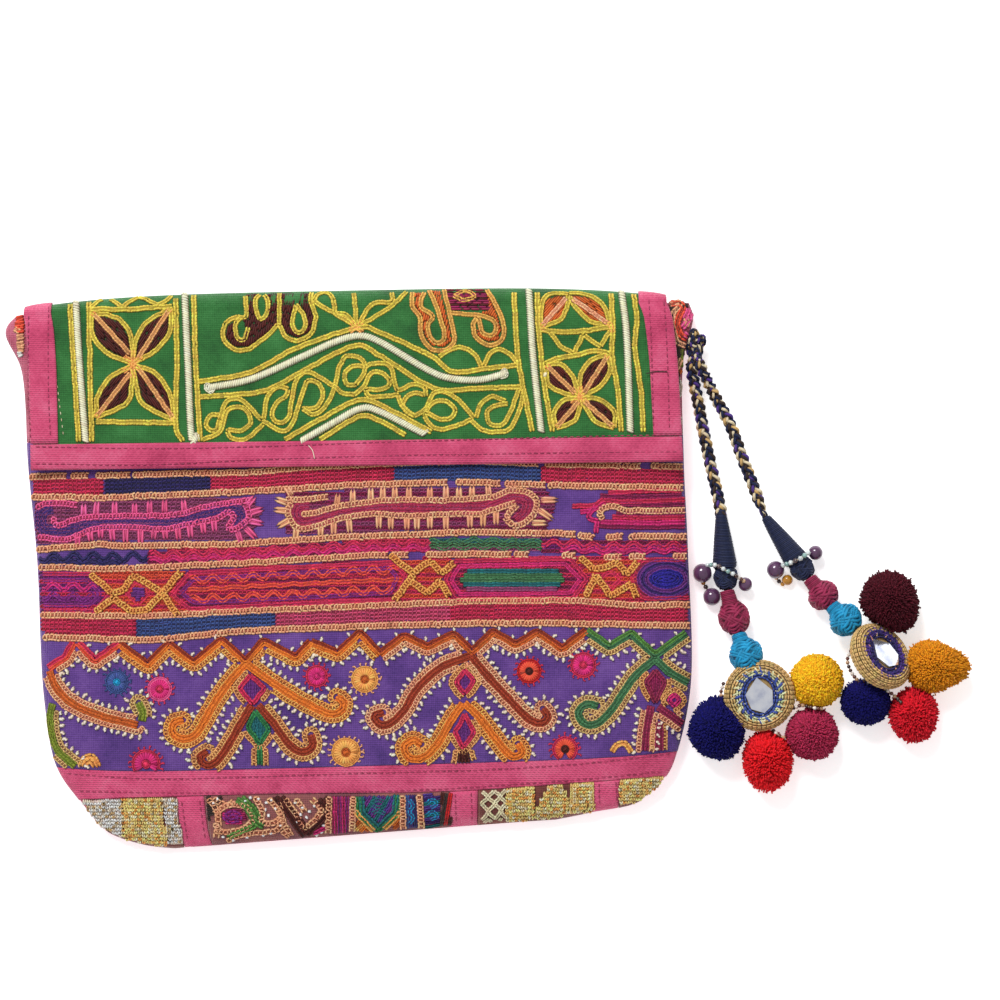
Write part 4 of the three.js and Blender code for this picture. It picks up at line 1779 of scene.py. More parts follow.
@dataclass
class Medallion:
    """A crocheted disc round a small mirror."""

    name: str
    centre: Point3
    tilt: float
    towards: float
    dyes: MedallionDyes
    narrow: float = 0.2
    foot: tuple[Point, ...] = ((0.4, -3.6), (10.5, -3.8), (13.4, -3.1), (15.0, -0.8))
    face: tuple[Point, ...] = ((15.0, 1.0), (13.6, 2.7), (11.4, 3.3), (9.6, 2.7), (8.4, 2.2), (0.4, 2.2))
    edge: tuple[Point3, ...] = (
        (14.0, -2.6, -30), (14.75, -1.2, -8), (14.95, 0.3, 8), (14.3, 1.7, 40), (13.0, 2.75, 70)
    )

    def __post_init__(self) -> None:
        """Sets up the disc's own frame."""
        lean = Matrix.Rotation(self.tilt, 3, Vector((-math.sin(self.towards), math.cos(self.towards), 0)))
        self.frame = np.asarray(lean)
        self.middle = np.asarray(self.centre)
        self.rng = np.random.default_rng(SEED + len(self.name))
        self.book = MeshBook(self.name + "medallion_crochet")

    def at(self, radius: Array | float, turn: Array, height: Array | float) -> Array:
        """Points in the disc's own frame, brought to their place.

        Args:
            radius: Distances from its middle.
            turn: Angles round it.
            height: Heights over it.

        Returns:
            A row for each point.
        """
        radius, turn, height = np.broadcast_arrays(radius, turn, height)
        local = np.stack([radius * np.cos(turn), radius * np.sin(turn), height], -1)
        return local @ self.frame.T + self.middle

    def follow(self, radius: Array | float, turn: Array) -> Array:
        """Radii that draw in towards the mirror, which is taller than wide."""
        return radius * (1 - self.narrow * np.cos(turn) ** 2 * np.clip((12.0 - radius) / 3, 0, 1))

    def ring(self, radius: float, height: float, lean: float, dye: Dye, width: float = 2.0) -> None:
        """Crochets a ring of chain.

        Args:
            radius: The ring's radius.
            height: Its height in the disc's frame.
            lean: The angle of its face over the horizon: 90 degrees looks up, 0 outwards.
            dye: Its thread.
            width: The chain's width.
        """
        count = max(12, round(math.pi * radius))
        turn = circle(count)
        slope = math.radians(lean)
        flat, rise = math.cos(slope), np.full(count, math.sin(slope))
        normal = np.stack([np.cos(turn) * flat, np.sin(turn) * flat, rise], -1) @ self.frame.T
        dyes = hue_drift(dye, count, self.rng)
        after = turn + 2 * math.pi * 1.3 / count
        start, end = (self.at(self.follow(radius, t), t, height) for t in (turn, after))
        for hand in (-1.0, 1.0):
            side = unit(np.cross(normal, end - start)) * hand * width * 0.12
            bow = hand * width * 0.22
            self.book.stitches(start + side, end + side * 0.4, normal, width * 0.52, dyes, bow, 0.55)

    def spokes(self, radii: Point, count: int, slant: float, dye: Dye, width: float, uneven: float) -> None:
        """Works stitches outwards from the mirror.

        Args:
            radii: Where they start and end.
            count: How many.
            slant: How far they lean round the disc, in radians.
            dye: Their thread.
            width: Their width.
            uneven: How much their length varies.
        """
        turn = 2 * math.pi * (np.arange(count) + 0.2 * self.rng.standard_normal(count)) / count
        inner = self.follow(radii[0], turn)
        outer = self.follow(radii[1] * (1 + uneven * self.rng.standard_normal(count)), turn)
        start, end = (
            self.at(reach, angle, np.interp(reach, *zip(*reversed(self.face))) + 0.35)
            for reach, angle in ((inner, turn), (outer, turn + slant))
        )
        normal = np.broadcast_to(self.frame[:, 2], start.shape)
        self.book.stitches(start, end, normal, width, hue_drift(dye, count, self.rng), 0.0, 0.6)

    def build(self, finish: Material, mirror: Material) -> Piece:
        """Crochets the disc and silvers its mirror.

        Args:
            finish: The disc's thread.
            mirror: The mirror's material.

        Returns:
            The disc, in place of its solid.
        """
        dyes = self.dyes
        rings = np.stack([self.at(r - 0.3, circle(48), h * 0.94) for r, h in self.foot + self.face])
        # Painted shade: the disc under the crochet is the rim's dye darkened, for the shade between its
        # stitches.
        self.book.rings(rings, dyes.rim.light * 0.6)
        for radius, height, lean in self.edge:
            self.ring(radius, height, lean, dyes.rim)
        self.ring(11.9, 3.2, 90, dyes.rim, 2.2)
        self.ring(10.4, 2.95, 90, dyes.outer, 2.2)
        self.spokes((9.9, 12.8), 26, 0.16, dyes.outer, 1.2, 0.03)
        self.ring(8.7, 2.85, 95, dyes.inner, 2.4)
        self.spokes((8.5, 11.6), 19, 0.2, dyes.inner, 1.7, 0.06)
        self.spokes((8.0, 9.8), 13, -0.12, dyes.fleck, 1.0, 0.1)
        made = self.book.piece(finish, "straw_crochet", self.name + "medallion")
        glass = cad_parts[self.name + "mirror"].data.materials
        glass.clear()
        glass.append(mirror)
        return made

    def clear(self, points: Array, room: float = 15.7) -> Array:
        """Moves points out of the disc, sideways.

        Args:
            points: The points, a row each.
            room: How far from its middle they must be.

        Returns:
            The moved points.
        """
        local = (points - self.middle) @ self.frame
        reach = np.linalg.norm(local[:, :2], axis=1)
        inside = (reach < room) & (np.abs(local[:, 2]) < 4.6)
        grow = np.where(inside, room / np.maximum(reach, 0.1), 1)[:, None]
        local[:, :2] *= np.minimum(grow, 1.6)
        return local @ self.frame.T + self.middle


@dataclass
class Pompom:
    """A ball of cut yarn that lies on the table."""

    name: str
    slot: str
    centre: Point
    radii: Point3
    dye: Dye
    lumps: float
    shaggy: float
    tail: float = 0.0
    # Painted shade: the share of the dye that the strands' roots and the dense middle keep.
    depth: float = 0.5
    strands: int = 4800
    thick: float = 0.42
    rests: float = 0.946
    lump_tightness: float = 3.0
    lump_mean: float = 2.33
    cover: float = 1.6
    stray: float = 0.035
    core: float = 0.85
    root: float = 0.6
    tip: float = 0.925
    # Painted shade at each strand's root and painted light at its tips, as shares of the dye.
    painted_shade_and_light: Point = (0.8, 1.2)
    drift: float = 0.16

    def __post_init__(self) -> None:
        """Chooses where the ball is lumpy."""
        self.rng = np.random.default_rng(SEED + sum(map(ord, self.name)))
        self.middle = np.array([*self.centre, self.radii[2] * self.rests])
        self.lumpy = unit(self.rng.standard_normal((14, 3)))
        self.book = MeshBook(self.name + "_yarn")

    def surface(self, way: Array) -> Array:
        """The ball's surface.

        Args:
            way: Directions from its middle, a row each.

        Returns:
            The points, from the middle.
        """
        bumps = np.exp(self.lump_tightness * (way @ self.lumpy.T - 1)).sum(1) - self.lump_mean
        pull = self.tail * np.maximum(0, way[:, 0]) ** 6
        return way * np.asarray(self.radii) * (1 + self.lumps * bumps + pull)[:, None]

    def build(self, finish: Material, medallion: Medallion) -> Piece:
        """Ties the ball.

        Args:
            finish: Its yarn.
            medallion: The disc that it leans on.

        Returns:
            The ball, in place of its solid.
        """
        self.fill()
        count, rng = self.strands, self.rng
        rise = 1 - self.cover * (np.arange(count) + 0.5) / count
        turn = np.arange(count) * math.pi * (3 - math.sqrt(5))
        reach = np.sqrt(1 - rise**2)
        even = np.stack([np.cos(turn) * reach, np.sin(turn) * reach, rise], -1)
        way = unit(even + self.stray * rng.standard_normal((count, 3)))
        skin = self.surface(way)
        droop = self.stray * rng.standard_normal((count, 3)) * np.mean(self.radii)
        uneven = self.shaggy * np.clip(rng.standard_normal(count), -2, 1.3)[:, None]
        tip = skin * (self.tip + uneven) + droop
        side = unit(np.cross(way, rng.standard_normal((count, 3))))
        other = np.cross(way, side)
        ends = [tip + self.thick * (math.cos(a) * side + math.sin(a) * other) for a in circle(3)]
        points = medallion.clear(np.stack([skin * self.root, *ends], 1).reshape(-1, 3) + self.middle)
        points[:, 2] = np.maximum(points[:, 2], 0.05 + 0.25 * rng.random(len(points)))
        faces = np.array([(1, 2, 3), (0, 2, 1), (0, 3, 2), (0, 1, 3)])
        # Painted shade and light: each strand's root is darkened and its tip lightened.
        dark, pale = self.painted_shade_and_light
        painted_shade_and_light = np.array((self.depth * dark, pale, pale, pale))[:, None]
        shade = hue_drift(self.dye, count, rng, self.drift)[:, None] * painted_shade_and_light
        self.book.copies(points.reshape(-1, 4, 3), faces, np.clip(shade, 0.002, 1))
        made = self.book.piece(finish, self.slot, self.name)
        return made

    def fill(self) -> None:
        """Adds the dense middle of the ball."""
        rise, turn = np.meshgrid(np.linspace(0.12, math.pi - 0.12, 14), circle(24), indexing="ij")
        way = np.stack([np.sin(rise) * np.cos(turn), np.sin(rise) * np.sin(turn), np.cos(rise)], -1)
        points = self.surface(way.reshape(-1, 3)).reshape(way.shape) * self.core + self.middle
        points[..., 2] = np.maximum(points[..., 2], 0.4)
        # Painted shade: the dense middle is the dye darkened, for the shade deep in the ball.
        self.book.rings(points, self.dye.light * self.depth)


@dataclass(frozen=True)
class StoneBead:
    """A drilled stone bead."""

    name: str
    centre: Point3
    radius: float
    colour: str
    drill: float = 0.28

    def build(self, finish: Material, axis: float) -> Piece:
        """Turns and drills the bead.

        Args:
            finish: Its material.
            axis: The direction of its bore in the plane of the table, in radians.

        Returns:
            The bead, in place of its solid.
        """
        bpy.ops.object.select_all(action="DESELECT")
        bpy.ops.mesh.primitive_uv_sphere_add(segments=28, ring_count=18, radius=self.radius * MM)
        bead = bpy.context.object
        bead.name = bead.data.name = self.name + "_stone"
        bpy.ops.object.mode_set(mode="EDIT")
        bpy.ops.mesh.select_mode(type="FACE")
        bpy.ops.mesh.select_all(action="DESELECT")
        bpy.ops.object.mode_set(mode="OBJECT")
        for face in bead.data.polygons:
            face.select = abs(face.center.z) > self.radius * MM * math.cos(self.drill)
        bpy.ops.object.mode_set(mode="EDIT")
        bpy.ops.mesh.inset(thickness=0.12 * MM, depth=-0.1 * MM)
        bpy.ops.mesh.inset(thickness=0.1 * MM, depth=-0.8 * MM)
        bpy.ops.mesh.normals_make_consistent(inside=False)
        bpy.ops.object.mode_set(mode="OBJECT")
        bead.data.transform(Matrix.Rotation(axis, 4, "Z") @ Matrix.Rotation(math.pi / 2, 4, "Y"))
        bead.data.transform(Matrix.Translation(Vector(self.centre) * MM))
        bead.data.shade_smooth()
        dyes = np.tile(linear(self.colour), (len(bead.data.vertices), 1))
        return settle(bead, finish, dyes, "bead_stone", self.name)


@dataclass(frozen=True)
class SeedString:
    """Seed beads threaded on a line."""

    route: tuple[Point3, ...]
    colours: tuple[str, ...]
    radius: float = 0.95

    def thread(self, book: MeshBook) -> None:
        """Threads the beads.

        Args:
            book: Takes the beads and their thread.
        """
        line = curve_through(self.route, self.radius * 1.9)
        lights = [linear(colour) for colour in self.colours]
        book.seed_beads(line, self.radius, np.array([lights[i % len(lights)] for i in range(len(line))]))
        book.tube(curve_through(self.route, 0.8), 0.25, Dye.CREAM.light, 4)


@dataclass
class Tassel:
    """A braided cord, its windings, and the medallion that its pompoms hang on."""

    name: str
    cord: tuple[Point3, ...]
    joints: tuple[Point3, ...]
    medallion: Medallion
    pompoms: tuple[Pompom, ...]
    beads: tuple[StoneBead, ...]
    strings: tuple[SeedString, ...]
    diameter: float = 5.8
    cord_step: float = 4.2
    cone: tuple[Point, ...] = (
        (0.0, 2.0), (0.14, 2.8), (0.34, 3.8), (0.52, 4.6), (0.67, 5.3),
        (0.74, 4.8), (0.83, 5.5), (0.94, 4.3), (1.0, 2.8),
    )
    rose: tuple[Point, ...] = (
        (0.0, 3.1), (0.26, 3.5), (0.36, 5.0), (0.5, 6.5), (0.66, 6.8), (0.82, 5.8), (0.94, 4.0), (1.0, 2.6)
    )
    sky: tuple[Point, ...] = (
        (0.0, 3.2), (0.18, 3.6), (0.28, 5.4), (0.42, 7.1), (0.58, 7.4), (0.76, 6.4), (0.92, 4.2), (1.0, 2.4)
    )

    def build(self, finishes: Finishes) -> Piece:
        """Builds the tassel.

        Args:
            finishes: The materials.

        Returns:
            The cord.
        """
        pieces = self.windings(finishes)
        pieces.append(self.medallion.build(finishes.thread, finishes.mirror))
        pieces.append(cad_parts[self.name + "mirror"])
        for pompom in self.pompoms:
            pieces.append(pompom.build(finishes.yarn, self.medallion))
        way = np.subtract(self.joints[1], self.joints[0])
        for bead in self.beads:
            pieces.append(bead.build(finishes.bead, math.atan2(way[1], way[0]) + math.pi / 2))
        seeds = MeshBook(self.name + "seed_beads")
        for string in self.strings:
            string.thread(seeds)
        pieces.append(seeds.piece(finishes.bead))
        route = [*self.cord, *map(tuple, curve_through(self.joints[:2], 5.0))]
        line = curve_through(route, 0.5)
        book = MeshBook(self.name + "cord_braid")
        Braid(route, narrow_from=len(self.cord) * self.cord_step).work(book)
        cord = book.piece(finishes.braid, "braid", self.name + "cord")
        float(np.linalg.norm(np.diff(line, axis=0), axis=1).sum()) * MM
        return cord

    def windings(self, finishes: Finishes) -> list[Piece]:
        """Winds the cone and both knots.

        Args:
            finishes: The materials.

        Returns:
            The three pieces.
        """
        first, second, third, fourth = self.joints
        prefix = self.name
        cone = Winding(
            prefix + "cone", first, second, self.cone, (0.01, 0.72), (0.74, 0.97), Dye.NIGHT, 0.4, 0.9
        )
        rose = Winding(prefix + "rose_knot", second, third, self.rose, (0.02, 0.34), (0.36, 0.94), Dye.WINE)
        sky = Winding(prefix + "sky_knot", third, fourth, self.sky, (0.02, 0.28), (0.3, 0.92), Dye.SKY)
        slots = ((cone, "navy_thread"), (rose, "rose_thread"), (sky, "sky_thread"))
        return [winding.build(finishes.thread, slot) for winding, slot in slots]


@dataclass
class CordKnot:
    """The knot at the bag's corner where both cords come out."""

    tails: tuple[Point3, ...]
    centre: Point3 = (149.6, 96.6, 7.4)
    radius: float = 3.4
    lean: float = 0.5

    def build(self, finishes: Finishes) -> Piece:
        """Ties the knot.

        Args:
            finishes: The materials.

        Returns:
            The knot, in place of its solid.
        """
        turn = np.linspace(0, 4 * math.pi, 90)
        reach = self.radius * (1.7 + np.cos(1.5 * turn)) * 0.5
        rise = self.radius * 0.5 * np.sin(1.5 * turn)
        loops = (0.75 * reach * np.cos(turn), 1.3 * reach * np.sin(turn), rise)
        lean = np.asarray(Matrix.Rotation(self.lean, 3, "X") @ Matrix.Rotation(self.lean, 3, "Y"))
        book = MeshBook("cord_knot_braid")
        Braid(np.column_stack(loops) @ lean.T + np.asarray(self.centre), 6.0, 0.7, 0.6, 0.52, 11.0).work(book)
        for tail in self.tails:
            Braid(np.linspace(self.centre, tail, 6), 6.0, 0.8, 0.8, 0.6, 14.0).work(book)
        return book.piece(finishes.braid, "braid", "cord_knot")


# The embroidery

CHART_SQUARE = 0.43
CHART_MIDDLE = (349, 567)
CHART_SHIFT = (0.2, 0.4)
OPEN_DYES = (Dye.PEACH, Dye.TAN)

# A line's dye, width, roundness and chart; a patch's dyes, direction and chart; a motif's two dyes and chart
Row = tuple[Dye, float, bool, str]
Patch = tuple[tuple[Dye, ...], float, str]
Edged = tuple[Dye, Dye, str]


def chart(text: str) -> list[Array]:
    """Lines of the embroiderer's chart, brought to the bag.

    Args:
        text: Columns and rows of the chart's squares, with a slash between two lines.

    Returns:
        The lines in millimetres.
    """
    lines = [np.array(line.split(), float).reshape(-1, 2) for line in text.split("/")]
    return [(line - CHART_MIDDLE) * (CHART_SQUARE, -CHART_SQUARE) + CHART_SHIFT for line in lines]


def beside(line: Array, distance: float) -> Array:
    """A line at a distance to the left of another."""
    return line + distance * leftward(line)


def closed(outline: Array, step: float) -> Array:
    """An outline that returns to its first point, evenly stepped."""
    return curve_through(np.vstack([outline, outline[:1]]), step, False)


class Panel:
    """A part of the embroidery: what it is worked on, and the piece that it becomes."""

    name = "embroidery"
    slot = ""

    def __init__(self, drape: Drape, finish: Material) -> None:
        """Threads the needle.

        Args:
            drape: The face that it is worked on.
            finish: Its thread.
        """
        self.finish = finish
        self.needle = Needle(drape, MeshBook(self.name), np.random.default_rng(SEED))

    def work(self) -> None:
        """Works the stitches."""

    def build(self) -> Piece:
        """Works the stitches and makes their piece."""
        self.work()
        return self.needle.book.piece(self.finish, self.slot)

    def chain(
        self,
        text: str,
        dye: Dye,
        width: float,
        link: float,
        smooth: bool = True,
        lift: float = 0.0,
        open_links: bool = False,
    ) -> None:
        """Works chain stitch along each line of a chart.

        Args:
            text: The chart.
            dye: The thread.
            width: The chain's width.
            link: The length of a link.
            smooth: Whether the lines are rounded at their points.
            lift: How far above the cloth they lie.
            open_links: Whether the links are square with a painted shadow showing in their holes.
        """
        for line in chart(text):
            self.needle.chain(line, dye, width, link, smooth, lift, open_links)

    def chains(self, rows: Sequence[Row]) -> None:
        """Works lines of chain stitch.

        Args:
            rows: Dye, width, whether rounded, and the chart of each.
        """
        for dye, width, smooth, text in rows:
            self.chain(text, dye, width * 1.15, width * 0.66, smooth, 0.0, dye in OPEN_DYES)

    def patches(self, rows: Sequence[Patch], pitch: float) -> None:
        """Fills patches with chain stitch.

        Args:
            rows: Dyes, direction and the outlines' chart of each.
            pitch: The distance between two rows.
        """
        for dyes, angle, text in rows:
            for outline in chart(text):
                self.needle.fill_chain(outline, dyes, angle, pitch)


class FlapWork(Panel):
    """The flap: framed stars, a chevron of couched cord, scrolls and hooked figures."""

    name = "flap_embroidery"
    slot = "green_cloth"
    petals: tuple[Edged, ...] = (
        (Dye.MAROON, Dye.TAN, "91 312 92 335 107 353 131 363/91 312 117 318 130 335 133 357"),
        (Dye.MAROON, Dye.TAN, "170 308 148 321 137 337 133 357/170 308 170 330 157 349 136 362"),
        (Dye.MAROON, Dye.TAN, "96 418 98 397 110 378 130 367/96 418 126 404 132 387 133 370"),
        (Dye.MAROON, Dye.TAN, "175 421 143 404 137 387 133 370/175 421 170 394 155 373 137 366"),
        (Dye.RUST, Dye.PEACH, "541 327 541 310 545 297 558 293 568 294/541 327 560 320 567 307 568 296"),
        (Dye.RUST, Dye.PEACH, "610 325 606 310 598 300 585 294 570 293/610 325 592 322 578 310 570 297"),
        (Dye.MAROON, Dye.TAN, "546 365 560 364 572 376 578 393/546 365 548 384 560 392 577 396"),
        (Dye.MAROON, Dye.TAN, "608 355 592 360 581 374 579 393/608 355 610 372 598 388 582 396"),
        (Dye.MAROON, Dye.TAN, "556 428 554 412 564 400 577 398/556 428 573 422 579 410 580 400"),
        (Dye.MAROON, Dye.TAN, "614 428 614 412 600 400 584 398/614 428 596 422 587 410 582 400"),
    )
    lines: tuple[Row, ...] = (
        (Dye.LEMON, 2.15, True,
         "69 304 74 370 79 441/88 302 90 370 92 441/175 295 177 360 176 424 183 441/193 295 196 368 201 "
         "441/96 422 176 423/514 289 517 349 523 387 532 431/537 289 538 323 543 375 552 431/611 290 613 "
         "326 612 354 618 392 621 431/634 294 637 320 635 348 641 392 643 431/540 330 570 332 612 327/"
         "545 364 556 359 574 356 594 351 609 354/90 309 130 309 171 306/197 382 249 373 297 348 357 328 "
         "380 333 431 356 452 372 483 369 517 365/200 397 233 395 268 390 302 372 354 346 380 356 424 "
         "384 445 391 471 389 520 387/285 440 323 418 360 400 388 409 431 432/320 440 359 417 380 421 "
         "405 435"),
        (Dye.LEMON, 1.95, True,
         "89 309 95 303 107 299 122 307/122 307 131 300 141 298 157 305/157 305 166 300 170 296/439 357 "
         "452 349 464 348 476 356 482 367 489 355 498 349 509 354 517 363/220 420 226 403 235 399 246 "
         "403 263 420 267 399 277 387 288 389/220 420 217 430 210 430 206 424 211 416 220 415/203 440 "
         "219 433 224 423 226 413 234 407 246 410 251 423 241 431 228 430 232 438 247 439 263 425/263 "
         "421 281 431 291 427 298 409 304 390 309 381 320 385 323 397 316 408 303 409/288 390 286 397 "
         "276 404 272 416 279 423 289 418 292 399 297 379 307 372 319 377 335 387 342 393 354 395/303 "
         "409 314 415 326 406 335 387 339 368 347 356 361 359 366 367/366 367 354 366 345 373 346 383 "
         "355 385 363 375 367 366 378 363 391 368 397 390 411 385 424 387 426 396/354 395 364 387 370 "
         "374 379 372 389 379 388 387 378 390 366 390 371 397 392 396 398 395 402 406 414 416/414 416 "
         "426 409 433 394 445 392 457 399 474 418/424 395 414 393 405 399 404 409 414 416/426 413 431 "
         "404 444 401 455 409 451 418 439 419 426 413 427 421 436 429 450 428 471 420/471 420 482 430 "
         "495 432 510 429 520 408 524 390/476 418 481 404 492 397 505 401/508 404 495 406 487 413 490 "
         "424 502 425 510 413 519 389/354 325 330 311 319 305 314 299 320 293 330 294 334 304 335 313 "
         "345 314 355 325/353 290 357 325/359 325 368 308 378 302 392 302 391 290/361 325 390 307 408 290"),
        (Dye.LEMON, 1.95, False, "550 332 560 346 574 354 583 334 600 347 610 331"),
        (Dye.LEMON, 1.95, True,
         "244 290 246 316 237 317 226 323 223 337 233 349 249 349 268 335 279 325 285 336 297 341 311 "
         "334 316 316/316 316 310 300 312 290/279 290 279 325/241 317 235 325 237 338 244 340 248 328/"
         "261 293 267 300 267 312 261 320 256 312 255 300 261 293/296 305 292 322 297 333 305 328 304 "
         "316 296 305"),
        (Dye.HONEY, 1.95, True,
         "412 292 412 306 420 318 421 335 431 349 445 350 454 342 452 325 444 290/429 290 436 306 443 "
         "328 444 339 437 343 430 337 428 325 433 316 420 306 425 290/449 313 476 315 493 320 496 331 "
         "490 336 482 332 478 318 473 325 476 337 488 345 500 342 504 328 498 309 487 290/454 296 464 "
         "291 475 296 464 300 454 296"),
        (Dye.AMBER, 2.1, True,
         "124 356 142 372/142 356 124 372/133 350 133 378/572 388 588 404/588 388 572 404/580 386 580 406/"
         "541 326 545 330/350 322 362 332/362 322 350 332/609 322 613 332"),
    )
    cords: str = (
        "75 303 80 370 86 441/184 293 188 364 192 437 197 437/209 388 252 379 302 357 335 342 359 336 380 "
        "342 424 368 448 378 479 380 504 374/302 441 337 421 360 409 378 411 424 434/529 289 533 356 541 "
        "431/622 293 627 340 630 431"
    )
    frays: str = (
        "213 387 206 384 207 391 214 390/205 388 211 393 216 386/500 374 505 369 507 376 501 378/498 377 "
        "506 372/190 437 197 434 199 440/423 433 428 431"
    )
    figures: tuple[Patch, ...] = (
        ((Dye.MAROON,), 80.0,
         "246 290 248 318 243 318 246 330 243 339 236 338 234 325 239 319 228 325 226 337 234 347 248 "
         "347 268 333 277 323 277 290 266 290 269 302 268 313 261 322 254 313 253 300 258 290"),
        ((Dye.MAROON,), 80.0,
         "281 290 281 324 287 334 297 338 309 332 313 316 307 300 309 290 300 290 299 303 306 314 308 "
         "328 298 335 290 324 294 302 292 290"),
        ((Dye.RUST,), 80.0,
         "415 292 415 305 423 317 424 334 432 346 444 347 451 341 449 326 440 290 432 290 438 305 446 "
         "327 446 341 437 345 428 338 426 325 431 317 418 306 422 292"),
        ((Dye.WINE, Dye.BERRY, Dye.MAROON), 0.0, "444 290 486 290 494 309 450 310"),
        ((Dye.RUST,), 60.0,
         "487 292 495 309 501 328 498 340 488 342 478 336 476 325 481 334 490 338 498 331 495 318 478 "
         "312 489 310"),
    )

    def work(self) -> None:
        """Works the flap."""
        needle = self.needle
        for dyes, angle, text in self.figures:
            needle.fill(closed(chart(text)[0], 0.8), dyes, angle)
        for dye, rib, text in self.petals:
            self.petal(dye, rib, *chart(text))
        self.chains(self.lines)
        for line in chart(self.cords):
            needle.rope(line, Dye.MILK, 3.7)
        self.chain(self.frays, Dye.MILK, 1.4, 1.2, True, 0.4)
        needle.run(chart("53 352 57 385 64 438")[0], Dye.CREAM, 1.6, 1.3, 0.5)
        needle.dots(chart("545 375")[0], Dye.CREAM, 3.0)
        needle.run(chart("446 296 482 296")[0], Dye.CRIMSON, 2.0, 0.4, 1.0)

    def petal(self, dye: Dye, rib: Dye, first: Array, second: Array) -> None:
        """Works a petal: two curved edges, a filling, and a rib.

        Args:
            dye: The filling's thread.
            rib: The rib's thread.
            first: One edge, from the tip to the heart.
            second: The other edge.
        """
        edges = [curve_through(edge, 0.8) for edge in (first, second)]
        tip, heart = first[0], second[-1]
        middle, way = (tip + heart) / 2, heart - tip
        axis = unit(way)
        ring = np.vstack([edges[0], edges[1][::-1]]) - middle
        along = (ring @ axis)[:, None] * axis
        inner = middle + along * 0.9 + (ring - along) * 0.78
        self.needle.fill(inner, (dye,), math.degrees(math.atan2(way[1], way[0])), 0.8, 7.0)
        self.needle.chain([tip + way * 0.06, tip + way * 0.92], rib, 2.3, 1.3, True, 0.3)
        for edge in (first, second):
            self.needle.chain(edge, Dye.LEMON, 2.35, 1.45)
        self.needle.chain([tip, tip + way * 0.06], Dye.AMBER, 2.8, 1.2)


@dataclass(frozen=True)
class Band:
    """The room between two lines that run across the front."""

    top: Array
    foot: Array

    def row(self, share: float, start: float, end: float, sway: float = 0.0, wave: float = 20.0) -> Array:
        """A row of the band.

        Args:
            share: From 0 at its top to 1 at its foot.
            start: The chart's column where it begins.
            end: The column where it ends.
            sway: How far it swings, in squares.
            wave: The length of a swing, in squares.

        Returns:
            The row's points in millimetres.
        """
        first, last = ((c - CHART_MIDDLE[0]) * CHART_SQUARE + CHART_SHIFT[0] for c in (start, end))
        x = np.linspace(first, last, max(2, round((last - first) / 1.5)))
        top, foot = (np.interp(x, line[:, 0], line[:, 1]) for line in (self.top, self.foot))
        swing = sway * CHART_SQUARE * np.sin(2 * math.pi * x / (wave * CHART_SQUARE))
        return np.stack([x, top + (foot - top) * share + swing], -1)


class GroundWork(Panel):
    """The upper front: bands filled with rows of chain stitch."""

    name = "ground_embroidery"
    slot = "purple_cloth"
    borders: str = (
        "26 477 127 475 258 472 299 468 392 463 478 461 543 464 641 466 696 467/28 497 100 498 240 492 359 "
        "485 460 482 574 486 696 488/30 550 103 544 115 546 240 544 342 537 478 532 574 534 593 538 631 "
        "536 696 537/32 567 115 569 240 563 371 555 478 554 565 555 603 557 696 556/34 615 144 616 240 611 "
        "359 606 478 601 574 600 627 605 696 605/36 637 153 640 240 631 359 626 478 623 560 623 696 626"
    )
    fields: tuple[tuple[int, Dye, float, float], ...] = (
        (0, Dye.CRIMSON, 28, 103),
        (0, Dye.NAVY, 105, 210),
        (0, Dye.CRIMSON, 211, 300),
        (0, Dye.CRIMSON, 300, 394),
        (0, Dye.BLUE, 394, 540),
        (0, Dye.CRIMSON, 541, 696),
        (4, Dye.CRIMSON, 36, 136),
        (4, Dye.BLUE, 137, 275),
        (4, Dye.PINK, 276, 378),
        (4, Dye.PINK, 378, 450),
        (4, Dye.CRIMSON, 450, 696),
    )
    grounds: tuple[tuple[tuple[Dye, ...], str], ...] = (
        ((Dye.VIOLET, Dye.CRIMSON, Dye.VIOLET), "34 572 93 572 113 594 95 613 34 613"),
        ((Dye.CORAL, Dye.CRIMSON, Dye.CORAL), "95 572 188 570 172 592 190 612 98 613 114 594"),
        ((Dye.CRIMSON, Dye.CORAL), "396 559 452 557 442 580 452 601 397 602 409 578"),
        ((Dye.CRIMSON, Dye.CORAL), "572 557 642 558 636 578 644 602 574 602 590 580"),
        ((Dye.CRIMSON, Dye.BERRY), "190 570 171 594 190 611 395 602 408 577 394 559"),
        ((Dye.CRIMSON, Dye.BERRY), "455 559 570 557 588 579 573 601 455 602 444 580"),
        ((Dye.BERRY, Dye.CRIMSON), "148 550 240 547 342 541 429 538 429 552 371 553 240 560 148 564"),
        ((Dye.BERRY, Dye.VIOLET), "541 537 593 541 696 540 696 553 541 553"),
        ((Dye.MAUVE, Dye.BARK, Dye.TEAL), "430 537 540 536 540 551 430 551"),
        ((Dye.MAUVE,), "34 503 62 500 250 497 262 512 250 538 110 541 34 544"),
        ((Dye.MAUVE, Dye.BERRY), "286 494 360 489 470 486 545 489 556 505 546 529 478 529 342 534 286 534"),
    )
    hearts: tuple[tuple[tuple[Dye, ...], str], ...] = (
        ((Dye.MAUVE, Dye.TEAL, Dye.FERN, Dye.FERN, Dye.TEAL, Dye.MAUVE),
         "468 570 556 568 564 579 556 590 468 591 460 580"),
        ((Dye.PURPLE,), "130 593 138 585 147 592 138 601"),
    )

    def bands(self) -> list[Band]:
        """The bands between the borders."""
        lines = chart(self.borders)
        return [Band(top, foot) for top, foot in zip(lines[:-1], lines[1:])]

    def work(self) -> None:
        """Works the rows."""
        bands = self.bands()
        for number, dye, start, end in self.fields:
            for share in (0.24, 0.43, 0.62, 0.8):
                row = bands[number].row(share, start, end, 0.4, 37.0)
                self.needle.chain(row, dye, 2.0, 1.85, True, 0.0, True)
        for dyes, text in self.grounds:
            self.needle.fill_chain(chart(text)[0], dyes, 0.0, 1.8, 0.0, True)
        for dyes, text in self.hearts:
            self.needle.fill_chain(chart(text)[0], dyes, 0.0, 1.9, 0.5)


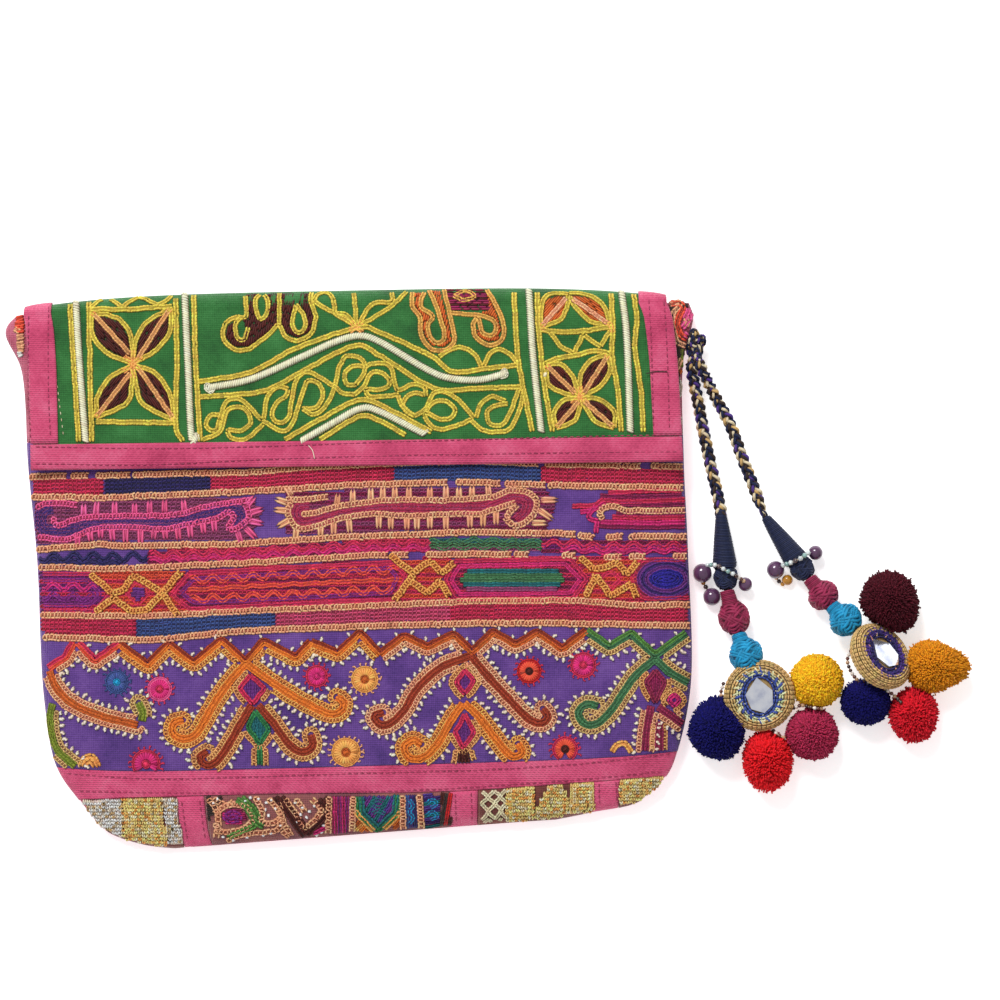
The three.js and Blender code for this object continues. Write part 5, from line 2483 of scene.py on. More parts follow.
class BandWork(GroundWork):
    """What is worked over the rows: scrolls with spines, lozenges, lattices and the bands' borders."""

    name = "band_embroidery"
    slot = "purple_cloth"
    breaks: tuple[tuple[Point, ...], ...] = (
        ((26, 66), (71, 88), (96, 130), (133, 538), (545, 640), (651, 696)),
        ((28, 447), (456, 500), (505, 545), (548, 696)),
        ((30, 575), (578, 593), (606, 622), (629, 696)),
        ((32, 388), (391, 408), (426, 511), (514, 528), (562, 575), (604, 621), (629, 645), (673, 696)),
        ((34, 696),),
        ((36, 696),),
    )
    waves: tuple[tuple[int, Dye, float, float, float, float], ...] = (
        (2, Dye.NAVY, 0.5, 32, 148, 4.0),
        (2, Dye.NAVY, 0.75, 32, 120, 2.0),
        (2, Dye.CRIMSON, 0.42, 150, 430, 3.0),
        (2, Dye.MAGENTA, 0.68, 150, 430, 2.5),
        (2, Dye.FERN, 0.4, 429, 541, 2.0),
        (2, Dye.FERN, 0.66, 429, 541, 2.0),
        (2, Dye.CRIMSON, 0.45, 541, 696, 3.0),
        (2, Dye.MAGENTA, 0.7, 560, 696, 2.0),
        (3, Dye.CORAL, 0.3, 190, 398, 3.5),
        (3, Dye.CORAL, 0.5, 188, 402, 0.6),
        (3, Dye.CORAL, 0.7, 190, 392, 3.5),
        (3, Dye.MAGENTA, 0.4, 36, 98, 3.5),
        (3, Dye.VIOLET, 0.62, 36, 98, 3.5),
    )
    lozenges: tuple[tuple[Dye, str], ...] = (
        (Dye.CRIMSON, "42 574 93 574 111 593 95 611 44 611"),
        (Dye.VIOLET, "42 580 88 580 101 594 90 605 44 605"),
        (Dye.CRIMSON, "190 573 172 594 190 609 395 599 406 577 394 562 190 573"),
        (Dye.VIOLET, "194 579 181 593 195 603 390 593 398 578 390 568 194 579"),
        (Dye.MAGENTA, "460 566 565 564 580 579 570 593 460 594 451 580 460 566"),
        (Dye.CRIMSON, "455 561 570 559 587 579 573 598 455 599 445 580 455 561"),
        (Dye.CRIMSON, "127 593 137 581 150 592 139 604 127 593"),
        (Dye.CRIMSON, "600 579 610 571 621 579 610 590 600 579"),
    )
    lattices: str = (
        "91 574 113 593 125 590 134 575 163 593 181 572/96 612 113 598 132 611 148 609 163 593 178 615/390 "
        "555 414 574 395 600/414 572 430 561 442 573 454 563/411 581 428 593 440 580 449 596/580 557 593 "
        "569 603 568 616 562 627 574 637 562/585 596 596 575 610 596 631 584 636 597"
    )
    snakes: tuple[tuple[Dye, Dye, str, str], ...] = (
        (Dye.DUSK, Dye.ROSE,
         "53 508 43 511 40 520 43 529 54 531 70 530 98 524 139 523 172 523 210 513 232 509 242 516 237 "
         "527",
         "36 507 51 503 77 505/54 517 57 526 82 518 127 516 175 515 210 506 253 500/38 537 68 539 94 529 "
         "127 527 163 529 201 522 218 518 229 512 234 518 229 529 240 527 249 517 246 505"),
        (Dye.PLUM, Dye.SALMON,
         "310 505 298 506 295 516 304 523 321 520 345 513 383 507 430 507 478 508 495 503 512 497 527 "
         "500 526 513 517 521",
         "291 500 309 499 328 497/302 514 314 513 333 508 354 504 392 500 445 500 491 497 510 491 529 "
         "493 537 503 531 517 517 526 506 518 517 505/288 497 291 504 288 512 295 526 307 529 335 520 "
         "373 514 407 516 454 514 478 514 496 509 515 503"),
    )
    spines: tuple[tuple[Dye, str], ...] = (
        (Dye.ROSE,
         "84 516 84 507/96 516 97 505/115 515 115 505/135 515 135 506/150 514 150 504/165 513 165 503/"
         "185 512 184 503/78 533 78 543/90 531 91 539/101 528 101 536/112 528 113 538/126 528 126 540/"
         "141 529 141 541/155 529 154 537/165 529 166 537/178 527 179 537/190 525 191 535/203 522 204 "
         "531/214 519 215 529/247 506 253 499/250 513 260 510/250 521 260 523/246 528 254 536/238 532 "
         "241 541"),
        (Dye.PEACH,
         "337 506 338 497/353 503 353 493/371 501 371 491/383 500 383 490/395 499 395 490/409 499 409 "
         "490/430 499 430 490/446 499 446 489/459 498 459 490/472 497 472 489/489 496 488 488/297 528 "
         "296 537/321 526 321 534/334 522 334 532/349 519 350 530/379 516 379 526/391 517 391 527/407 "
         "517 407 527/417 517 417 527/430 516 430 526/446 516 446 527/470 515 470 525/483 513 483 524/"
         "496 511 496 522/541 500 553 500/539 510 549 517/532 523 543 523/288 503 279 500/288 511 278 "
         "510/290 520 281 525/292 496 288 489"),
    )
    twists: tuple[tuple[Dye, str], ...] = (
        (Dye.CRIMSON,
         "572 506 593 506 603 500 627 502 694 499/608 493 650 491 694 491/612 517 650 518 694 517"),
        (Dye.BERRY,
         "600 496 640 497 694 495/596 526 650 527 694 526/620 504 650 505 694 504/616 514 650 514 694 "
         "513"),
        (Dye.MAGENTA,
         "597 521 596 532/596 505 588 517 597 521/600 522 650 523 694 522/580 512 592 510 604 503"),
    )
    twine: str = "603 519 599 513 605 507 617 507 629 511 694 510"

    def work(self) -> None:
        """Works the bands."""
        needle = self.needle
        bands = self.bands()
        for number, dye, share, start, end, sway in self.waves:
            needle.chain(bands[number].row(share, start, end, sway), dye, 2.2, 1.6)
        for dye, text in self.lozenges:
            self.chain(text, dye, 2.1, 1.6, False)
        self.oval()
        self.chain(self.lattices, Dye.AMBER, 3.2, 1.45, False, 0.6, True)
        for body, edge, core, outline in self.snakes:
            smooth = curve_through(chart(core)[0], 1.0)
            for offset in (-1.7, 0.0, 1.7):
                needle.chain(beside(smooth, offset), body, 2.0, 1.4)
            self.chain(outline, edge, 3.1, 1.45, True, 0.2, True)
        for dye, text in self.spines:
            self.chain(text, dye, 2.8, 4.0, True, 0.1)
        for dye, text in self.twists:
            self.chain(text, dye, 2.3, 1.4)
        self.chain(self.twine, Dye.SALMON, 3.1, 1.4, True, 0.2, True)
        for line, parts in zip(chart(self.borders), self.breaks):
            for start, end in parts:
                needle.chain(Band(line, line).row(0.0, start, end), Dye.PEACH, 3.3, 1.45, True, 0.1, True)

    def oval(self) -> None:
        """Works the oval at the right end of the fourth band."""
        heart = chart("666 579")[0][0]
        turn = np.linspace(0, 2 * math.pi, 40)
        rings = (
            (14.6, 11.0, Dye.CRIMSON), (13.4, 9.6, Dye.WINE), (12.0, 8.0, Dye.PURPLE), (10.2, 6.5, Dye.DUSK),
            (8.4, 5.0, Dye.PURPLE), (6.6, 3.4, Dye.ULTRA), (4.4, 1.7, Dye.ULTRA), (2.0, 0.4, Dye.ULTRA),
        )
        for wide, tall, dye in rings:
            rise = np.clip(tall * np.sin(turn), -8.3, 8.3)
            ring = np.stack([heart[0] + wide * np.cos(turn), heart[1] + rise], -1)
            self.needle.chain(ring, dye, 2.1, 1.4)


class MotifWork(Panel):
    """The lower front: a zigzag border, branching hooks with spiny edges, and rosettes."""

    name = "motif_embroidery"
    slot = "purple_cloth"
    zigzags: tuple[Edged, ...] = (
        (Dye.CORAL, Dye.PEACH, "48 669 66 657 74 643"),
        (Dye.CORAL, Dye.PEACH, "78 643 95 661 119 644"),
        (Dye.ORANGE, Dye.AMBER, "119 644 148 665 169 644 194 663 222 640 246 662 264 641 296 658 311 642"),
        (Dye.ORANGE, Dye.AMBER, "311 642 338 653 360 633 380 654"),
        (Dye.RUST, Dye.PEACH,
         "380 654 404 636 428 647 454 634 472 652 493 632 516 645 537 632 562 649 586 631"),
        (Dye.FERN, Dye.STRAW, "586 631 609 647 631 634 655 656 686 634"),
    )
    strokes: tuple[Edged, ...] = (
        (Dye.RUST, Dye.PEACH, "49 671 56 688 73 704 101 716 137 725"),
        (Dye.OLIVE, Dye.STRAW, "142 721 143 712 139 703"),
        (Dye.OLIVE, Dye.STRAW, "52 704 49 720 55 748 74 766"),
        (Dye.ORANGE, Dye.AMBER, "246 664 232 679 216 701 204 722 195 735 183 739 173 733 174 723 183 720"),
        (Dye.ORANGE, Dye.AMBER, "246 663 268 679 297 698 328 713 341 711 344 702 337 697"),
        (Dye.BRICK, Dye.TAN, "252 705 240 725 228 746 216 762 205 765 200 757 207 752"),
        (Dye.BRICK, Dye.TAN, "258 705 273 722 290 745 303 752 313 746 311 735"),
        (Dye.BRICK, Dye.PEACH, "471 655 440 668 417 689 404 710 392 722 381 725 374 716 383 712"),
        (Dye.BRICK, Dye.PEACH, "470 654 486 674 510 700 529 719 541 723 548 717 543 709"),
        (Dye.ORANGE, Dye.AMBER, "463 703 450 722 438 743 424 757 410 758 404 747 413 740 421 744"),
        (Dye.ORANGE, Dye.AMBER, "464 703 479 717 495 738 511 756 522 753 518 744"),
        (Dye.FERN, Dye.STRAW, "655 659 637 674 624 691 612 709 598 723 585 724 578 713 586 704 597 706"),
        (Dye.FERN, Dye.STRAW, "655 659 669 672 688 683"),
        (Dye.WINE, Dye.PEACH, "651 706 647 728 645 750"),
        (Dye.WINE, Dye.PEACH, "658 707 672 717 685 726"),
    )
    diamonds: tuple[Edged, ...] = (
        (Dye.CRIMSON, Dye.PURPLE, "251 675 240 688 253 704 265 688"),
        (Dye.GREEN, Dye.TEAL, "256 711 248 727 260 744 269 729"),
        (Dye.CRIMSON, Dye.PURPLE, "465 670 456 682 464 694 474 681"),
        (Dye.CRIMSON, Dye.PURPLE, "465 714 455 732 463 748 474 732"),
        (Dye.WINE, Dye.BERRY, "655 671 646 682 655 703 665 682"),
        (Dye.MAGENTA, Dye.PURPLE, "674 695 668 700 674 706 680 700"),
    )
    stems: tuple[tuple[Dye, str], ...] = (
        (Dye.GREEN, "260 745 260 764"),
        (Dye.MAROON, "463 749 460 765/464 749 468 765"),
        (Dye.WINE, "658 722 657 750/661 722 661 750"),
        (Dye.TAN,
         "254 748 254 765/266 748 266 765/456 750 453 766/471 750 476 766/652 724 652 750/665 724 665 750"),
        (Dye.AMBER, "80 766 84 758 93 757 98 766/84 766 89 761 94 766/612 752 618 744 626 744 631 752"),
    )
    tops = {Dye.CORAL: Dye.CRIMSON, Dye.FERN: Dye.MOSS}
    rosettes: tuple[tuple[str, float, tuple[Dye, ...], Dye], ...] = (
        ("117 682", 9.5, (Dye.BLUE, Dye.BLUE, Dye.SKY), Dye.BLUE),
        ("160 689", 10, (Dye.MAGENTA, Dye.ROSE, Dye.CRIMSON), Dye.CRIMSON),
        ("146 764", 12, (Dye.MAGENTA, Dye.CRIMSON, Dye.CRIMSON), Dye.CRIMSON),
        ("317 676", 9, (Dye.MAGENTA, Dye.CRIMSON, Dye.MAGENTA), Dye.CRIMSON),
        ("365 679", 11, (Dye.AMBER, Dye.AMBER, Dye.RUST), Dye.PEACH),
        ("346 752", 12, (Dye.AMBER, Dye.AMBER, Dye.RUST), Dye.PEACH),
        ("529 671", 10, (Dye.CORAL, Dye.RED, Dye.MAROON), Dye.CRIMSON),
        ("583 665", 10.5, (Dye.MAGENTA, Dye.CRIMSON, Dye.CRIMSON), Dye.CRIMSON),
        ("565 749", 10.5, (Dye.CORAL, Dye.CRIMSON, Dye.MAROON), Dye.CRIMSON),
    )

    def work(self) -> None:
        """Works the motifs."""
        needle = self.needle
        zigzags, strokes = self.middles(self.zigzags, False), self.middles(self.strokes, True)
        rhombs = [chart(text)[0] for _rim, _heart, text in self.diamonds]
        rims = [closed(rhomb, 1.2) for rhomb in rhombs]
        lines = [line for _core, _edge, line in zigzags + strokes]
        needle.taken = np.vstack(lines + rims)
        for core, edge, line in zigzags:
            self.zigzag(line, core, edge)
        for core, edge, line in strokes:
            self.stroke(line, core, edge)
        needle.room = 0.0
        for (rim, heart, _text), rhomb, line in zip(self.diamonds, rhombs, rims):
            needle.fill_chain(rhomb, (heart,), 90.0, 1.7)
            needle.chain(line, rim, 2.2, 1.4, False, 0.3)
        needle.taken = np.vstack(lines)
        needle.room = 2.4
        for rhomb, line in zip(rhombs, rims):
            out = line - rhomb.mean(0)
            wider = rhomb.mean(0) + out * (1 + 2.3 / np.linalg.norm(out, axis=1)[:, None])
            needle.chain(wider, Dye.TAN, 2.6, 1.4, True, 0.0, True)
        needle.room = 0.0
        for dye, text in self.stems:
            self.chain(text, dye, 2.6, 1.4, True, 0.0, dye in OPEN_DYES)
        turn = np.linspace(0, 2 * math.pi, 41)
        for place, radius, rings, spikes in self.rosettes:
            heart = chart(place)[0][0]
            reach = 1.2 * radius * CHART_SQUARE
            needle.picots(heart + reach * np.stack([np.cos(turn), np.sin(turn)], -1), spikes, 1.6, 2.1, -1.0)
            needle.rosette(heart, reach, rings)

    def middles(self, rows: Sequence[Edged], smooth: bool) -> list[tuple[Dye, Dye, Array]]:
        """Core, edge and middle line of each motif in a table, rounded at its points or not."""
        return [(core, edge, curve_through(chart(text)[0], 1.2, smooth)) for core, edge, text in rows]

    def zigzag(self, line: Array, core: Dye, edge: Dye) -> None:
        """Works a part of the zigzag border: two rows of chain, a row under them, and spines.

        Args:
            line: Its middle.
            core: The thread of its lower row.
            edge: The thread under it.
        """
        needle = self.needle
        needle.room = 0.0
        needle.chain(beside(line, 1.0), self.tops.get(core, Dye.BRICK), 2.0, 1.35)
        needle.chain(beside(line, -0.6), core, 2.0, 1.35)
        needle.room = 2.2
        needle.chain(beside(line, -2.7), edge, 2.7, 1.35, True, 0.0, True)
        needle.picots(beside(line, 1.8)[3:-3], Dye.PEARL, 1.8, 7.0, 1.0, 1.5)
        needle.room = 4.6
        needle.picots(beside(line, -3.9), Dye.PEARL, 2.0, 3.0, -1.0, 1.75)

    def stroke(self, line: Array, core: Dye, edge: Dye) -> None:
        """Works a branch: two rows of chain, a row round them, and spines.

        Args:
            line: Its middle.
            core: The thread of its middle.
            edge: The thread round it.
        """
        needle = self.needle
        needle.room = 0.0
        for offset in (-0.75, 0.75):
            needle.chain(beside(line, offset), core, 2.0, 1.35)
        needle.room = 2.4
        needle.chain(self.around(line, 2.8), edge, 2.7, 1.4, True, 0.0, True)
        needle.room = 4.6
        needle.picots(self.around(line, 4.0), Dye.PEARL, 2.0, 3.0, 1.0, 1.75)

    def around(self, line: Array, reach: float) -> Array:
        """A line that runs round the end of another.

        Args:
            line: The other line.
            reach: The distance between them.

        Returns:
            The line's points.
        """
        way = unit(line[-1] - line[-2])
        side = np.array([-way[1], way[0]])
        turns = np.linspace(0.3, math.pi - 0.3, 6)
        cap = [line[-1] + reach * (math.cos(a) * side + math.sin(a) * way) for a in turns]
        return np.vstack([beside(line, reach)[2:], cap, beside(line, -reach)[::-1][:-2]])


class BaseWork(Panel):
    """The stitched patch in the row at the foot."""

    name = "base_embroidery"
    slot = "stitched_cloth"
    grounds: tuple[Patch, ...] = (
        ((Dye.BARK,), 20.0, "206 798 224 798 214 812 207 822"),
        ((Dye.MAGENTA, Dye.BERRY), 0.0, "220 817 226 810 234 808 243 812 246 819 238 825 226 825"),
        ((Dye.WINE, Dye.MAROON), 90.0, "333 797 351 797 349 838 331 838"),
        ((Dye.VIOLET, Dye.MAGENTA), 90.0, "335 797 349 797 348 838 334 838"),
        ((Dye.PURPLE, Dye.LILAC, Dye.TEAL), 60.0, "364 797 394 797 392 811 377 824 365 811"),
        ((Dye.ORANGE, Dye.AMBER, Dye.RUST), 45.0, "355 818 374 838 355 838/400 818 381 838 400 838"),
        ((Dye.NAVY, Dye.DUSK, Dye.BLUE), 90.0, "405 796 416 796 417 834 405 834"),
        ((Dye.LILAC, Dye.TEAL, Dye.DUSK), 10.0, "423 795 440 795 439 832 424 832"),
        ((Dye.MAROON, Dye.RED, Dye.BARK), 80.0, "441 794 451 794 450 832 440 832"),
    )
    rows: tuple[Row, ...] = (
        (Dye.PEACH, 2.7, True,
         "207 800 214 806 218 822 215 838/213 799 226 806 233 802/214 824 222 833 244 829 252 818 244 806 "
         "226 806 214 814/222 844 245 835 275 831 281 818/255 797 262 812 260 822 272 824 281 816 278 803/"
         "281 832 290 840 281 844"),
        (Dye.PEACH, 2.7, True,
         "268 799 279 812 283 824 292 840/285 799 296 816 304 829 321 811 312 800/296 799 304 812"),
        (Dye.VIOLET, 2.6, True, "224 817 232 813 240 818 231 821 224 817"),
        (Dye.MOSS, 2.6, True, "236 800 246 808 254 822 262 827/226 838 254 826/241 798 252 808 258 818"),
        (Dye.MAROON, 2.6, True,
         "275 797 289 816 303 837/281 797 295 816 310 838/318 800 328 812 316 826 304 838/324 798 330 "
         "806"),
        (Dye.MAGENTA, 2.3, True, "306 840 322 836/312 834 326 828"),
        (Dye.TEAL, 2.4, False, "361 797 362 812 377 828 394 813 396 796"),
        (Dye.GREEN, 2.4, False, "358 797 359 815 377 832 397 815 398 797"),
        (Dye.AMBER, 2.6, False, "354 811 377 836 400 813"),
        (Dye.TEAL, 2.0, True, "370 803 378 800 386 804 378 808 370 803/372 814 378 811 384 814"),
        (Dye.SKY, 1.8, True,
         "426 804 432 800 437 804 431 808/426 816 432 812 437 816 431 820/409 800 413 806 409 812 413 "
         "818 409 824"),
    )
    ladders: str = "329 797 327 840/353 797 351 838/402 796 403 836/419 795 421 832"
    knots: str = (
        "213 803 217 799 245 801 250 798 258 799 266 803 271 800 275 809 268 816 265 810 222 838 232 841 "
        "246 838 262 836 270 834 280 826 295 803 302 808 300 815 306 818 309 812 314 806 296 822 321 833 "
        "316 836 323 826"
    )

    def work(self) -> None:
        """Works the patch."""
        self.patches(self.grounds, 1.7)
        self.chains(self.rows)
        self.chain(self.ladders, Dye.PEACH, 3.2, 1.4, True, 0.2, True)
        self.needle.dots(chart(self.knots)[0], Dye.WHITE, 1.9)


class BrocadeWork(Panel):
    """The metal-thread pieces in the row at the foot."""

    name = "base_brocade"
    slot = "gold_brocade"
    # Paler threads mixed in at random stand for painted glints on the metal.
    glints = {
        Dye.GOLD: (Dye.GOLD, Dye.GOLD, Dye.AMBER, Dye.CREAM),
        Dye.SILVER: (Dye.SILVER, Dye.WHITE, Dye.WHITE, Dye.SAND),
    }
    blocks: tuple[tuple[Dye, str], ...] = (
        (Dye.SILVER, "80 799 121 799 121 840 103 831 89 817"),
        (Dye.GOLD, "122 799 161 799 166 846 145 846 130 843 122 840"),
        (Dye.SILVER, "162 799 175 799 181 845 168 846"),
        (Dye.GOLD, "507 786 533 784 534 822 507 824"),
        (Dye.GOLD, "541 800 551 784 562 784 571 806 570 814 537 822 535 814"),
        (Dye.GOLD, "571 781 593 779 594 812 572 815"),
        (Dye.GOLD, "621 777 640 775 668 772 664 789 645 800 621 806"),
    )
    braids: str = (
        "124 799 128 838/129 799 133 840/147 799 152 844/157 799 162 843/510 788 511 822/530 786 531 820/"
        "574 783 575 811/591 781 592 808/624 780 624 800/645 778 646 796"
    )
    net: str = (
        "482 792 488 798 482 804 488 812 482 820/494 791 488 798 495 804 488 812 495 819/494 791 500 797 "
        "495 804 501 811 495 819/506 790 500 797 506 803 501 811 506 818/482 826 488 820 495 826 501 819"
    )

    def work(self) -> None:
        """Works the brocade."""
        for dye, text in self.blocks:
            self.needle.fill_chain(chart(text)[0], (dye,), 90.0, 1.7)
            self.needle.knit(chart(text)[0], self.glints[dye])
        self.chain(self.braids, Dye.GOLD, 2.0, 1.3, True, 0.4, True)
        self.chain(self.net, Dye.CREAM, 1.8, 1.3, True, 0.2)


class EarWork(Panel):
    """What shows of the upper front at both sides of the flap."""

    name = "ear_embroidery"
    slot = "madder_cloth"
    grounds: tuple[Patch, ...] = (
        ((Dye.BARK,), 90.0,
         "669 302 681 301 688 303 686 312 681 322 681 334 688 342 689 352 684 362 676 370 675 345"),
        ((Dye.OLIVE, Dye.BARK), 90.0, "675 346 684 350 684 372 682 430 675 430"),
    )
    rows: tuple[Row, ...] = (
        (Dye.SALMON, 2.4, True,
         "670 304 681 303 673 315 674 332 678 342 686 346 685 353 681 360 677 368/686 326 688 321 686 "
         "318"),
        (Dye.CORAL, 2.8, True, "671 303 680 303 684 306 682 312 678 318 678 328 682 336 686 338"),
        (Dye.ROSE, 2.4, True, "687 301 692 304 692 312 688 320 683 327/689 308 685 318/684 333 688 336"),
        (Dye.PEARL, 2.0, True, "678 377 681 387 679 396/677 414 680 419 679 427/682 378 682 390"),
        (Dye.RUST, 2.6, True, "690 352 684 362 679 372/688 356 682 366"),
        (Dye.CORAL, 2.6, True, "14 319 21 317/13 324 22 323/15 330 22 329"),
        (Dye.SALMON, 2.4, True, "15 337 22 336/15 344 22 343/13 328 18 331/16 349 22 349"),
        (Dye.WHITE, 2.4, True, "16 354 20 353/17 359 21 358/18 364 21 363"),
    )

    def work(self) -> None:
        """Works both ears."""
        self.patches(self.grounds, 1.6)
        self.chains(self.rows)


class SeamWork(Panel):
    """The running stitch that holds a tape down, and the loose threads on it."""

    slot = "pink_cotton"
    seams: str = ""
    lift: float = 0.05
    loose: tuple[tuple[Dye, str], ...] = ()

    def work(self) -> None:
        """Sews the seams."""
        for line in chart(self.seams):
            self.needle.run(line, Dye.SEAM, 2.0, 0.7, 0.5, self.lift)
        for dye, text in self.loose:
            place, normal = self.needle.drape.lay(curve_through(chart(text)[0], 0.6), self.lift + 0.3)
            self.needle.book.tube(place, 0.22, dye.light, 5, normal)


class FlapSeams(SeamWork):
    """The seams of the tape round the flap."""

    name = "flap_seams"
    seams = (
        "48 308 48 350 49 400 51 437/28 316 28 380 31 440/664 302 666 330 668 385 669 430/649 300 651 340 "
        "653 428/36 447 150 449 260 447 400 442 580 437 676 435/36 464 150 465 260 460 400 456 580 453 678 "
        "452"
    )
    lift = 1.2
    loose = ((Dye.BARK, "646 374 655 372 667 372"), (Dye.PEARL, "309 446 313 451 315 459"))


class SashSeams(SeamWork):
    """The seams of the sash and of the strips under it."""

    name = "sash_seams"
    seams = (
        "66 774 150 779 250 777 370 773 482 770 580 764 672 754/78 792 150 793 250 793 326 793 400 791 448 "
        "789 480 787 580 780 664 772/181 802 186 842/199 801 204 841/455 794 456 824/471 793 472 823/599 "
        "784 600 806/616 782 617 803"
    )


# The whole clutch


def tassels() -> tuple[Tassel, Tassel]:
    """The two tassels at the right of the bag.

    Returns:
        The one near the bag, and the one further out.
    """
    amethyst, topaz = "5d3a5c", "c98a2b"
    pale = ("dfe6e6", "8fb3ad", "dfe6e6", "5b4a4a")
    dark = ("4a2a24", "e8ded6", "6b3b30", "c9a07c", "3a2326")
    near = Tassel(
        "near_",
        cord=(
            (147.6, 88.2, 6.4), (148.2, 84.0, 5.6), (149.0, 79.8, 4.8), (149.9, 75.6, 4.2),
            (150.8, 71.4, 3.7), (151.6, 67.2, 3.4), (152.3, 63.0, 3.2), (153.1, 58.8, 3.1),
            (154.0, 54.6, 3.1), (154.9, 50.4, 3.1), (155.8, 46.2, 3.1), (156.7, 42.0, 3.1),
            (157.7, 37.8, 3.1), (158.7, 33.6, 3.1), (159.6, 29.4, 3.2), (160.4, 25.4, 3.3),
        ),
        joints=((160.5, 24.9, 3.3), (163.0, -9.8, 6.8), (168.0, -28.7, 8.6), (173.6, -44.4, 13.6)),
        medallion=Medallion(
            "near_", (176.9, -55.0, 13.6), 0.0, 0.0, MedallionDyes(Dye.STRAW, Dye.MINT, Dye.DENIM, Dye.CREAM)
        ),
        pompoms=(
            Pompom("near_pompom_navy", "navy_yarn",
                   (158.5, -71.2), (12.7, 13.6, 12.4), Dye.INDIGO, 0.13, 0.03),
            Pompom("near_pompom_red", "red_yarn",
                   (180.4, -83.4), (10.6, 12.7, 11.2), Dye.SCARLET, 0.08, 0.1),
            Pompom("near_pompom_plum", "plum_yarn",
                   (199.6, -72.1), (11.7, 11.5, 11.5), Dye.PLUM, 0.03, 0.03),
            Pompom("near_pompom_yellow", "yellow_yarn",
                   (201.9, -48.7), (11.9, 11.9, 11.8), Dye.SUN, 0.03, 0.008, 0.0, 1.0, 7000, 0.58),
        ),
        beads=(
            StoneBead("near_bead_left", (152.6, -2.4, 4.3), 4.2, amethyst),
            StoneBead("near_bead_low", (156.7, -12.6, 4.0), 3.9, amethyst),
            StoneBead("near_bead_right", (171.1, -7.2, 5.6), 3.1, amethyst),
        ),
        strings=(
            SeedString(
                ((154.6, 1.2, 6.6), (158.6, 1.0, 10.6), (162.2, -1.0, 12.4), (165.4, -2.6, 12.2)), pale, 1.15
            ),
            SeedString(((166.9, -3.6, 11.4), (169.0, -4.8, 9.4), (170.2, -5.8, 8.4)), dark, 1.05),
            SeedString(
                ((153.0, -6.6, 2.8), (154.2, -8.6, 2.4), (155.2, -10.2, 3.0)), (topaz, "3a2326"), 1.2
            ),
            SeedString(
                ((191.6, -60.4, 12.4), (195.0, -59.2, 15.6), (200.0, -60.2, 17.4), (203.4, -60.6, 15.4)), dark
            ),
            SeedString(((183.0, -70.2, 12.0), (184.8, -71.8, 14.6), (187.2, -73.0, 15.0)), dark),
            SeedString(((161.4, -50.0, 10.6), (160.4, -54.0, 10.0), (161.2, -58.2, 11.6)), dark),
        ),
    )
    far = Tassel(
        "far_",
        cord=(
            (150.6, 88.8, 12.6), (152.5, 84.8, 10.8), (154.6, 80.6, 8.2), (156.8, 76.4, 5.8),
            (159.0, 72.2, 4.3), (161.3, 68.2, 3.5), (163.7, 63.8, 3.2), (165.8, 59.0, 3.1),
            (167.5, 54.2, 3.1), (169.2, 49.4, 3.1), (171.0, 44.6, 3.1), (172.9, 39.8, 3.1),
            (174.8, 35.0, 3.1), (176.6, 30.2, 3.1), (178.3, 25.6, 3.2), (179.4, 22.8, 3.3),
        ),
        joints=((179.9, 21.7, 3.3), (198.6, -4.6, 6.8), (208.2, -16.4, 8.6), (218.6, -27.2, 13.0)),
        medallion=Medallion(
            "far_", (229.0, -38.0, 15.4), 0.82, 0.7, MedallionDyes(Dye.STRAW, Dye.LILAC, Dye.NAVY, Dye.PEACH)
        ),
        pompoms=(
            Pompom("far_pompom_maroon", "maroon_yarn",
                   (232.2, -14.1), (12.4, 12.8, 12.0), Dye.CLARET, 0.14, 0.06),
            Pompom("far_pompom_ochre", "ochre_yarn",
                   (251.2, -42.9), (12.2, 11.6, 11.2), Dye.OCHRE, 0.03, 0.03, 0.5),
            Pompom("far_pompom_navy", "navy_yarn",
                   (222.8, -58.2), (11.2, 10.2, 10.6), Dye.INDIGO, 0.05, 0.04),
            Pompom("far_pompom_red", "red_yarn",
                   (243.4, -63.6), (10.7, 10.9, 10.4), Dye.CARDINAL, 0.08, 0.1),
        ),
        beads=(
            StoneBead("far_bead_left", (184.2, -1.0, 4.0), 3.9, amethyst),
            StoneBead("far_bead_low", (189.4, -5.4, 2.6), 2.4, topaz),
            StoneBead("far_bead_right", (201.4, 6.4, 5.2), 3.2, amethyst),
        ),
        strings=(
            SeedString(
                ((187.4, 1.0, 7.0), (191.0, 2.4, 11.0), (194.6, 4.0, 12.2), (198.0, 6.4, 9.8)), pale, 1.25
            ),
            SeedString(
                ((184.6, -4.4, 2.2), (186.0, -6.2, 1.8), (187.4, -7.2, 1.6)), (topaz, "3a2326"), 1.1
            ),
            SeedString(
                ((216.4, -36.0, 9.6), (215.0, -40.0, 8.6), (216.6, -45.0, 9.6), (219.8, -49.4, 13.0)), dark
            ),
            SeedString(
                ((222.0, -48.6, 14.8), (227.6, -51.0, 15.4), (233.0, -53.6, 14.6), (237.6, -57.8, 16.0)), dark
            ),
        ),
    )
    return near, far


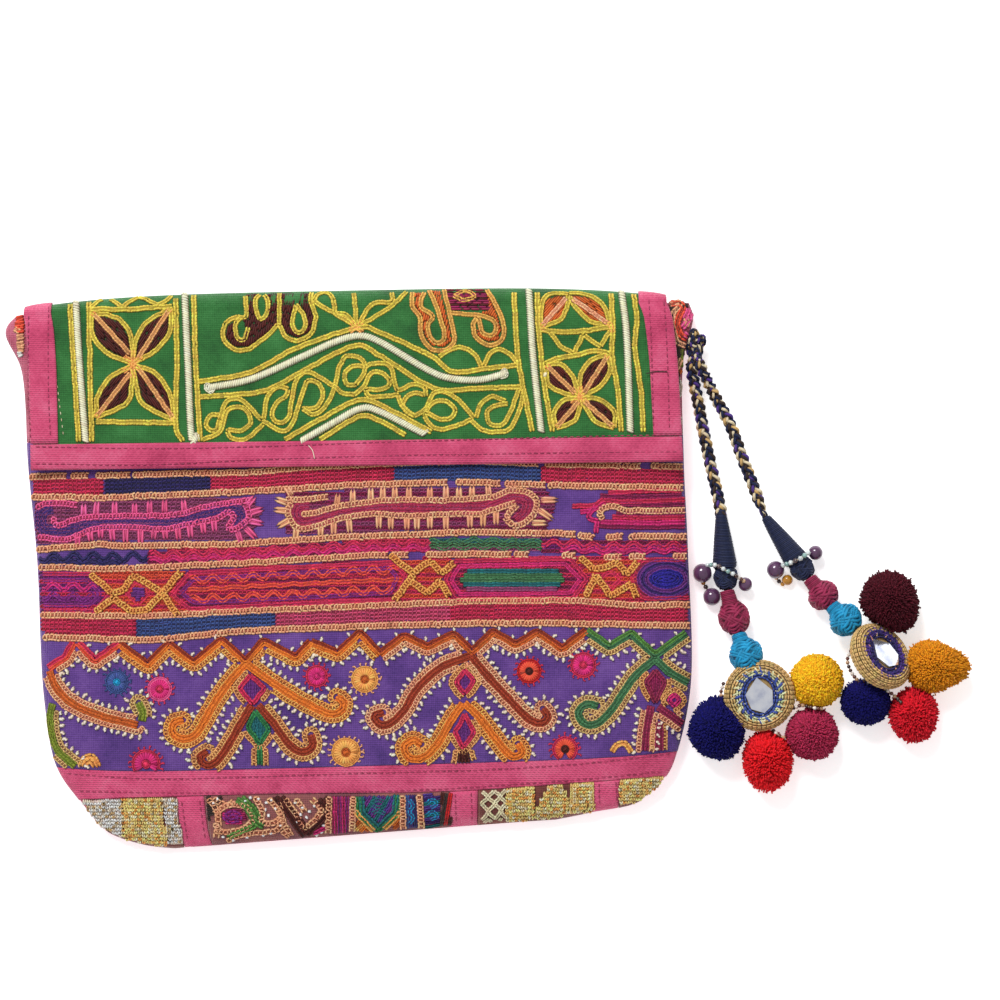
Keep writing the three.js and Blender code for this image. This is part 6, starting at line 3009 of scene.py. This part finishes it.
@dataclass
class Studio:
    """A white table, soft light, and a camera straight above."""

    centre: Point = (65.1, 29.2)
    width: float = 430.0
    level: float = 18.0
    distance: float = 2600.0
    sensor: float = 36.0
    sky: float = 0.55
    key: float = 2.5
    key_size: float = 24.0
    key_turn: Point = (-38.0, -22.0)
    table_size: float = 4.0
    table_level: float = -0.0002
    far_clip: float = 20.0

    def build(self) -> None:
        """Sets up the table, the light and the camera."""
        scene = bpy.context.scene
        scene.view_settings.view_transform = "Standard"
        bpy.ops.object.select_all(action="DESELECT")
        x, y = (place * MM for place in self.centre)
        bpy.ops.mesh.primitive_plane_add(size=self.table_size, location=(x, y, self.table_level))
        table = bpy.context.object
        table.name = "white_table"
        table.data.materials.append(FloorFinish().material())
        world = bpy.data.worlds.new("soft_room")
        scene.world = world
        world.use_nodes = True
        sky = world.node_tree.nodes["Background"].inputs
        sky["Color"].default_value = (1.0, 1.0, 1.0, 1.0)
        sky["Strength"].default_value = self.sky
        lamp = bpy.data.lights.new("key", "SUN")
        lamp.energy = self.key
        lamp.angle = math.radians(self.key_size)
        key = bpy.data.objects.new("key", lamp)
        key.rotation_euler = (*map(math.radians, self.key_turn), 0.0)
        scene.collection.objects.link(key)
        lens = bpy.data.cameras.new("camera")
        lens.sensor_width = self.sensor
        lens.lens = self.sensor * self.distance / self.width
        lens.clip_end = self.far_clip
        camera = bpy.data.objects.new("camera", lens)
        camera.location = (x, y, (self.level + self.distance) * MM)
        scene.collection.objects.link(camera)
        scene.camera = camera


def main() -> None:
    """Builds the clutch, piece by piece."""
    logging.basicConfig(level=logging.INFO, format="%(name)s %(message)s")
    Studio().build()
    finishes = Finishes()
    hung = tassels()
    CordKnot(tuple(tassel.cord[0] for tassel in hung)).build(finishes)
    for tassel in hung:
        tassel.build(finishes)
    shape = BagShape()
    Pouch(shape, finishes).build()
    Flap(shape, finishes).build()
    flap, front, above_sash, base = (Drape(shape, face) for face in Face)
    thread = finishes.thread
    FlapWork(flap, thread).build()
    for work in (GroundWork, BandWork, MotifWork):
        work(above_sash, thread).build()
    BaseWork(base, thread).build()
    BrocadeWork(base, finishes.metal).build()
    EarWork(front, thread).build()
    FlapSeams(flap, thread).build()
    SashSeams(front, thread).build()


if __name__ == "__main__":
    main()
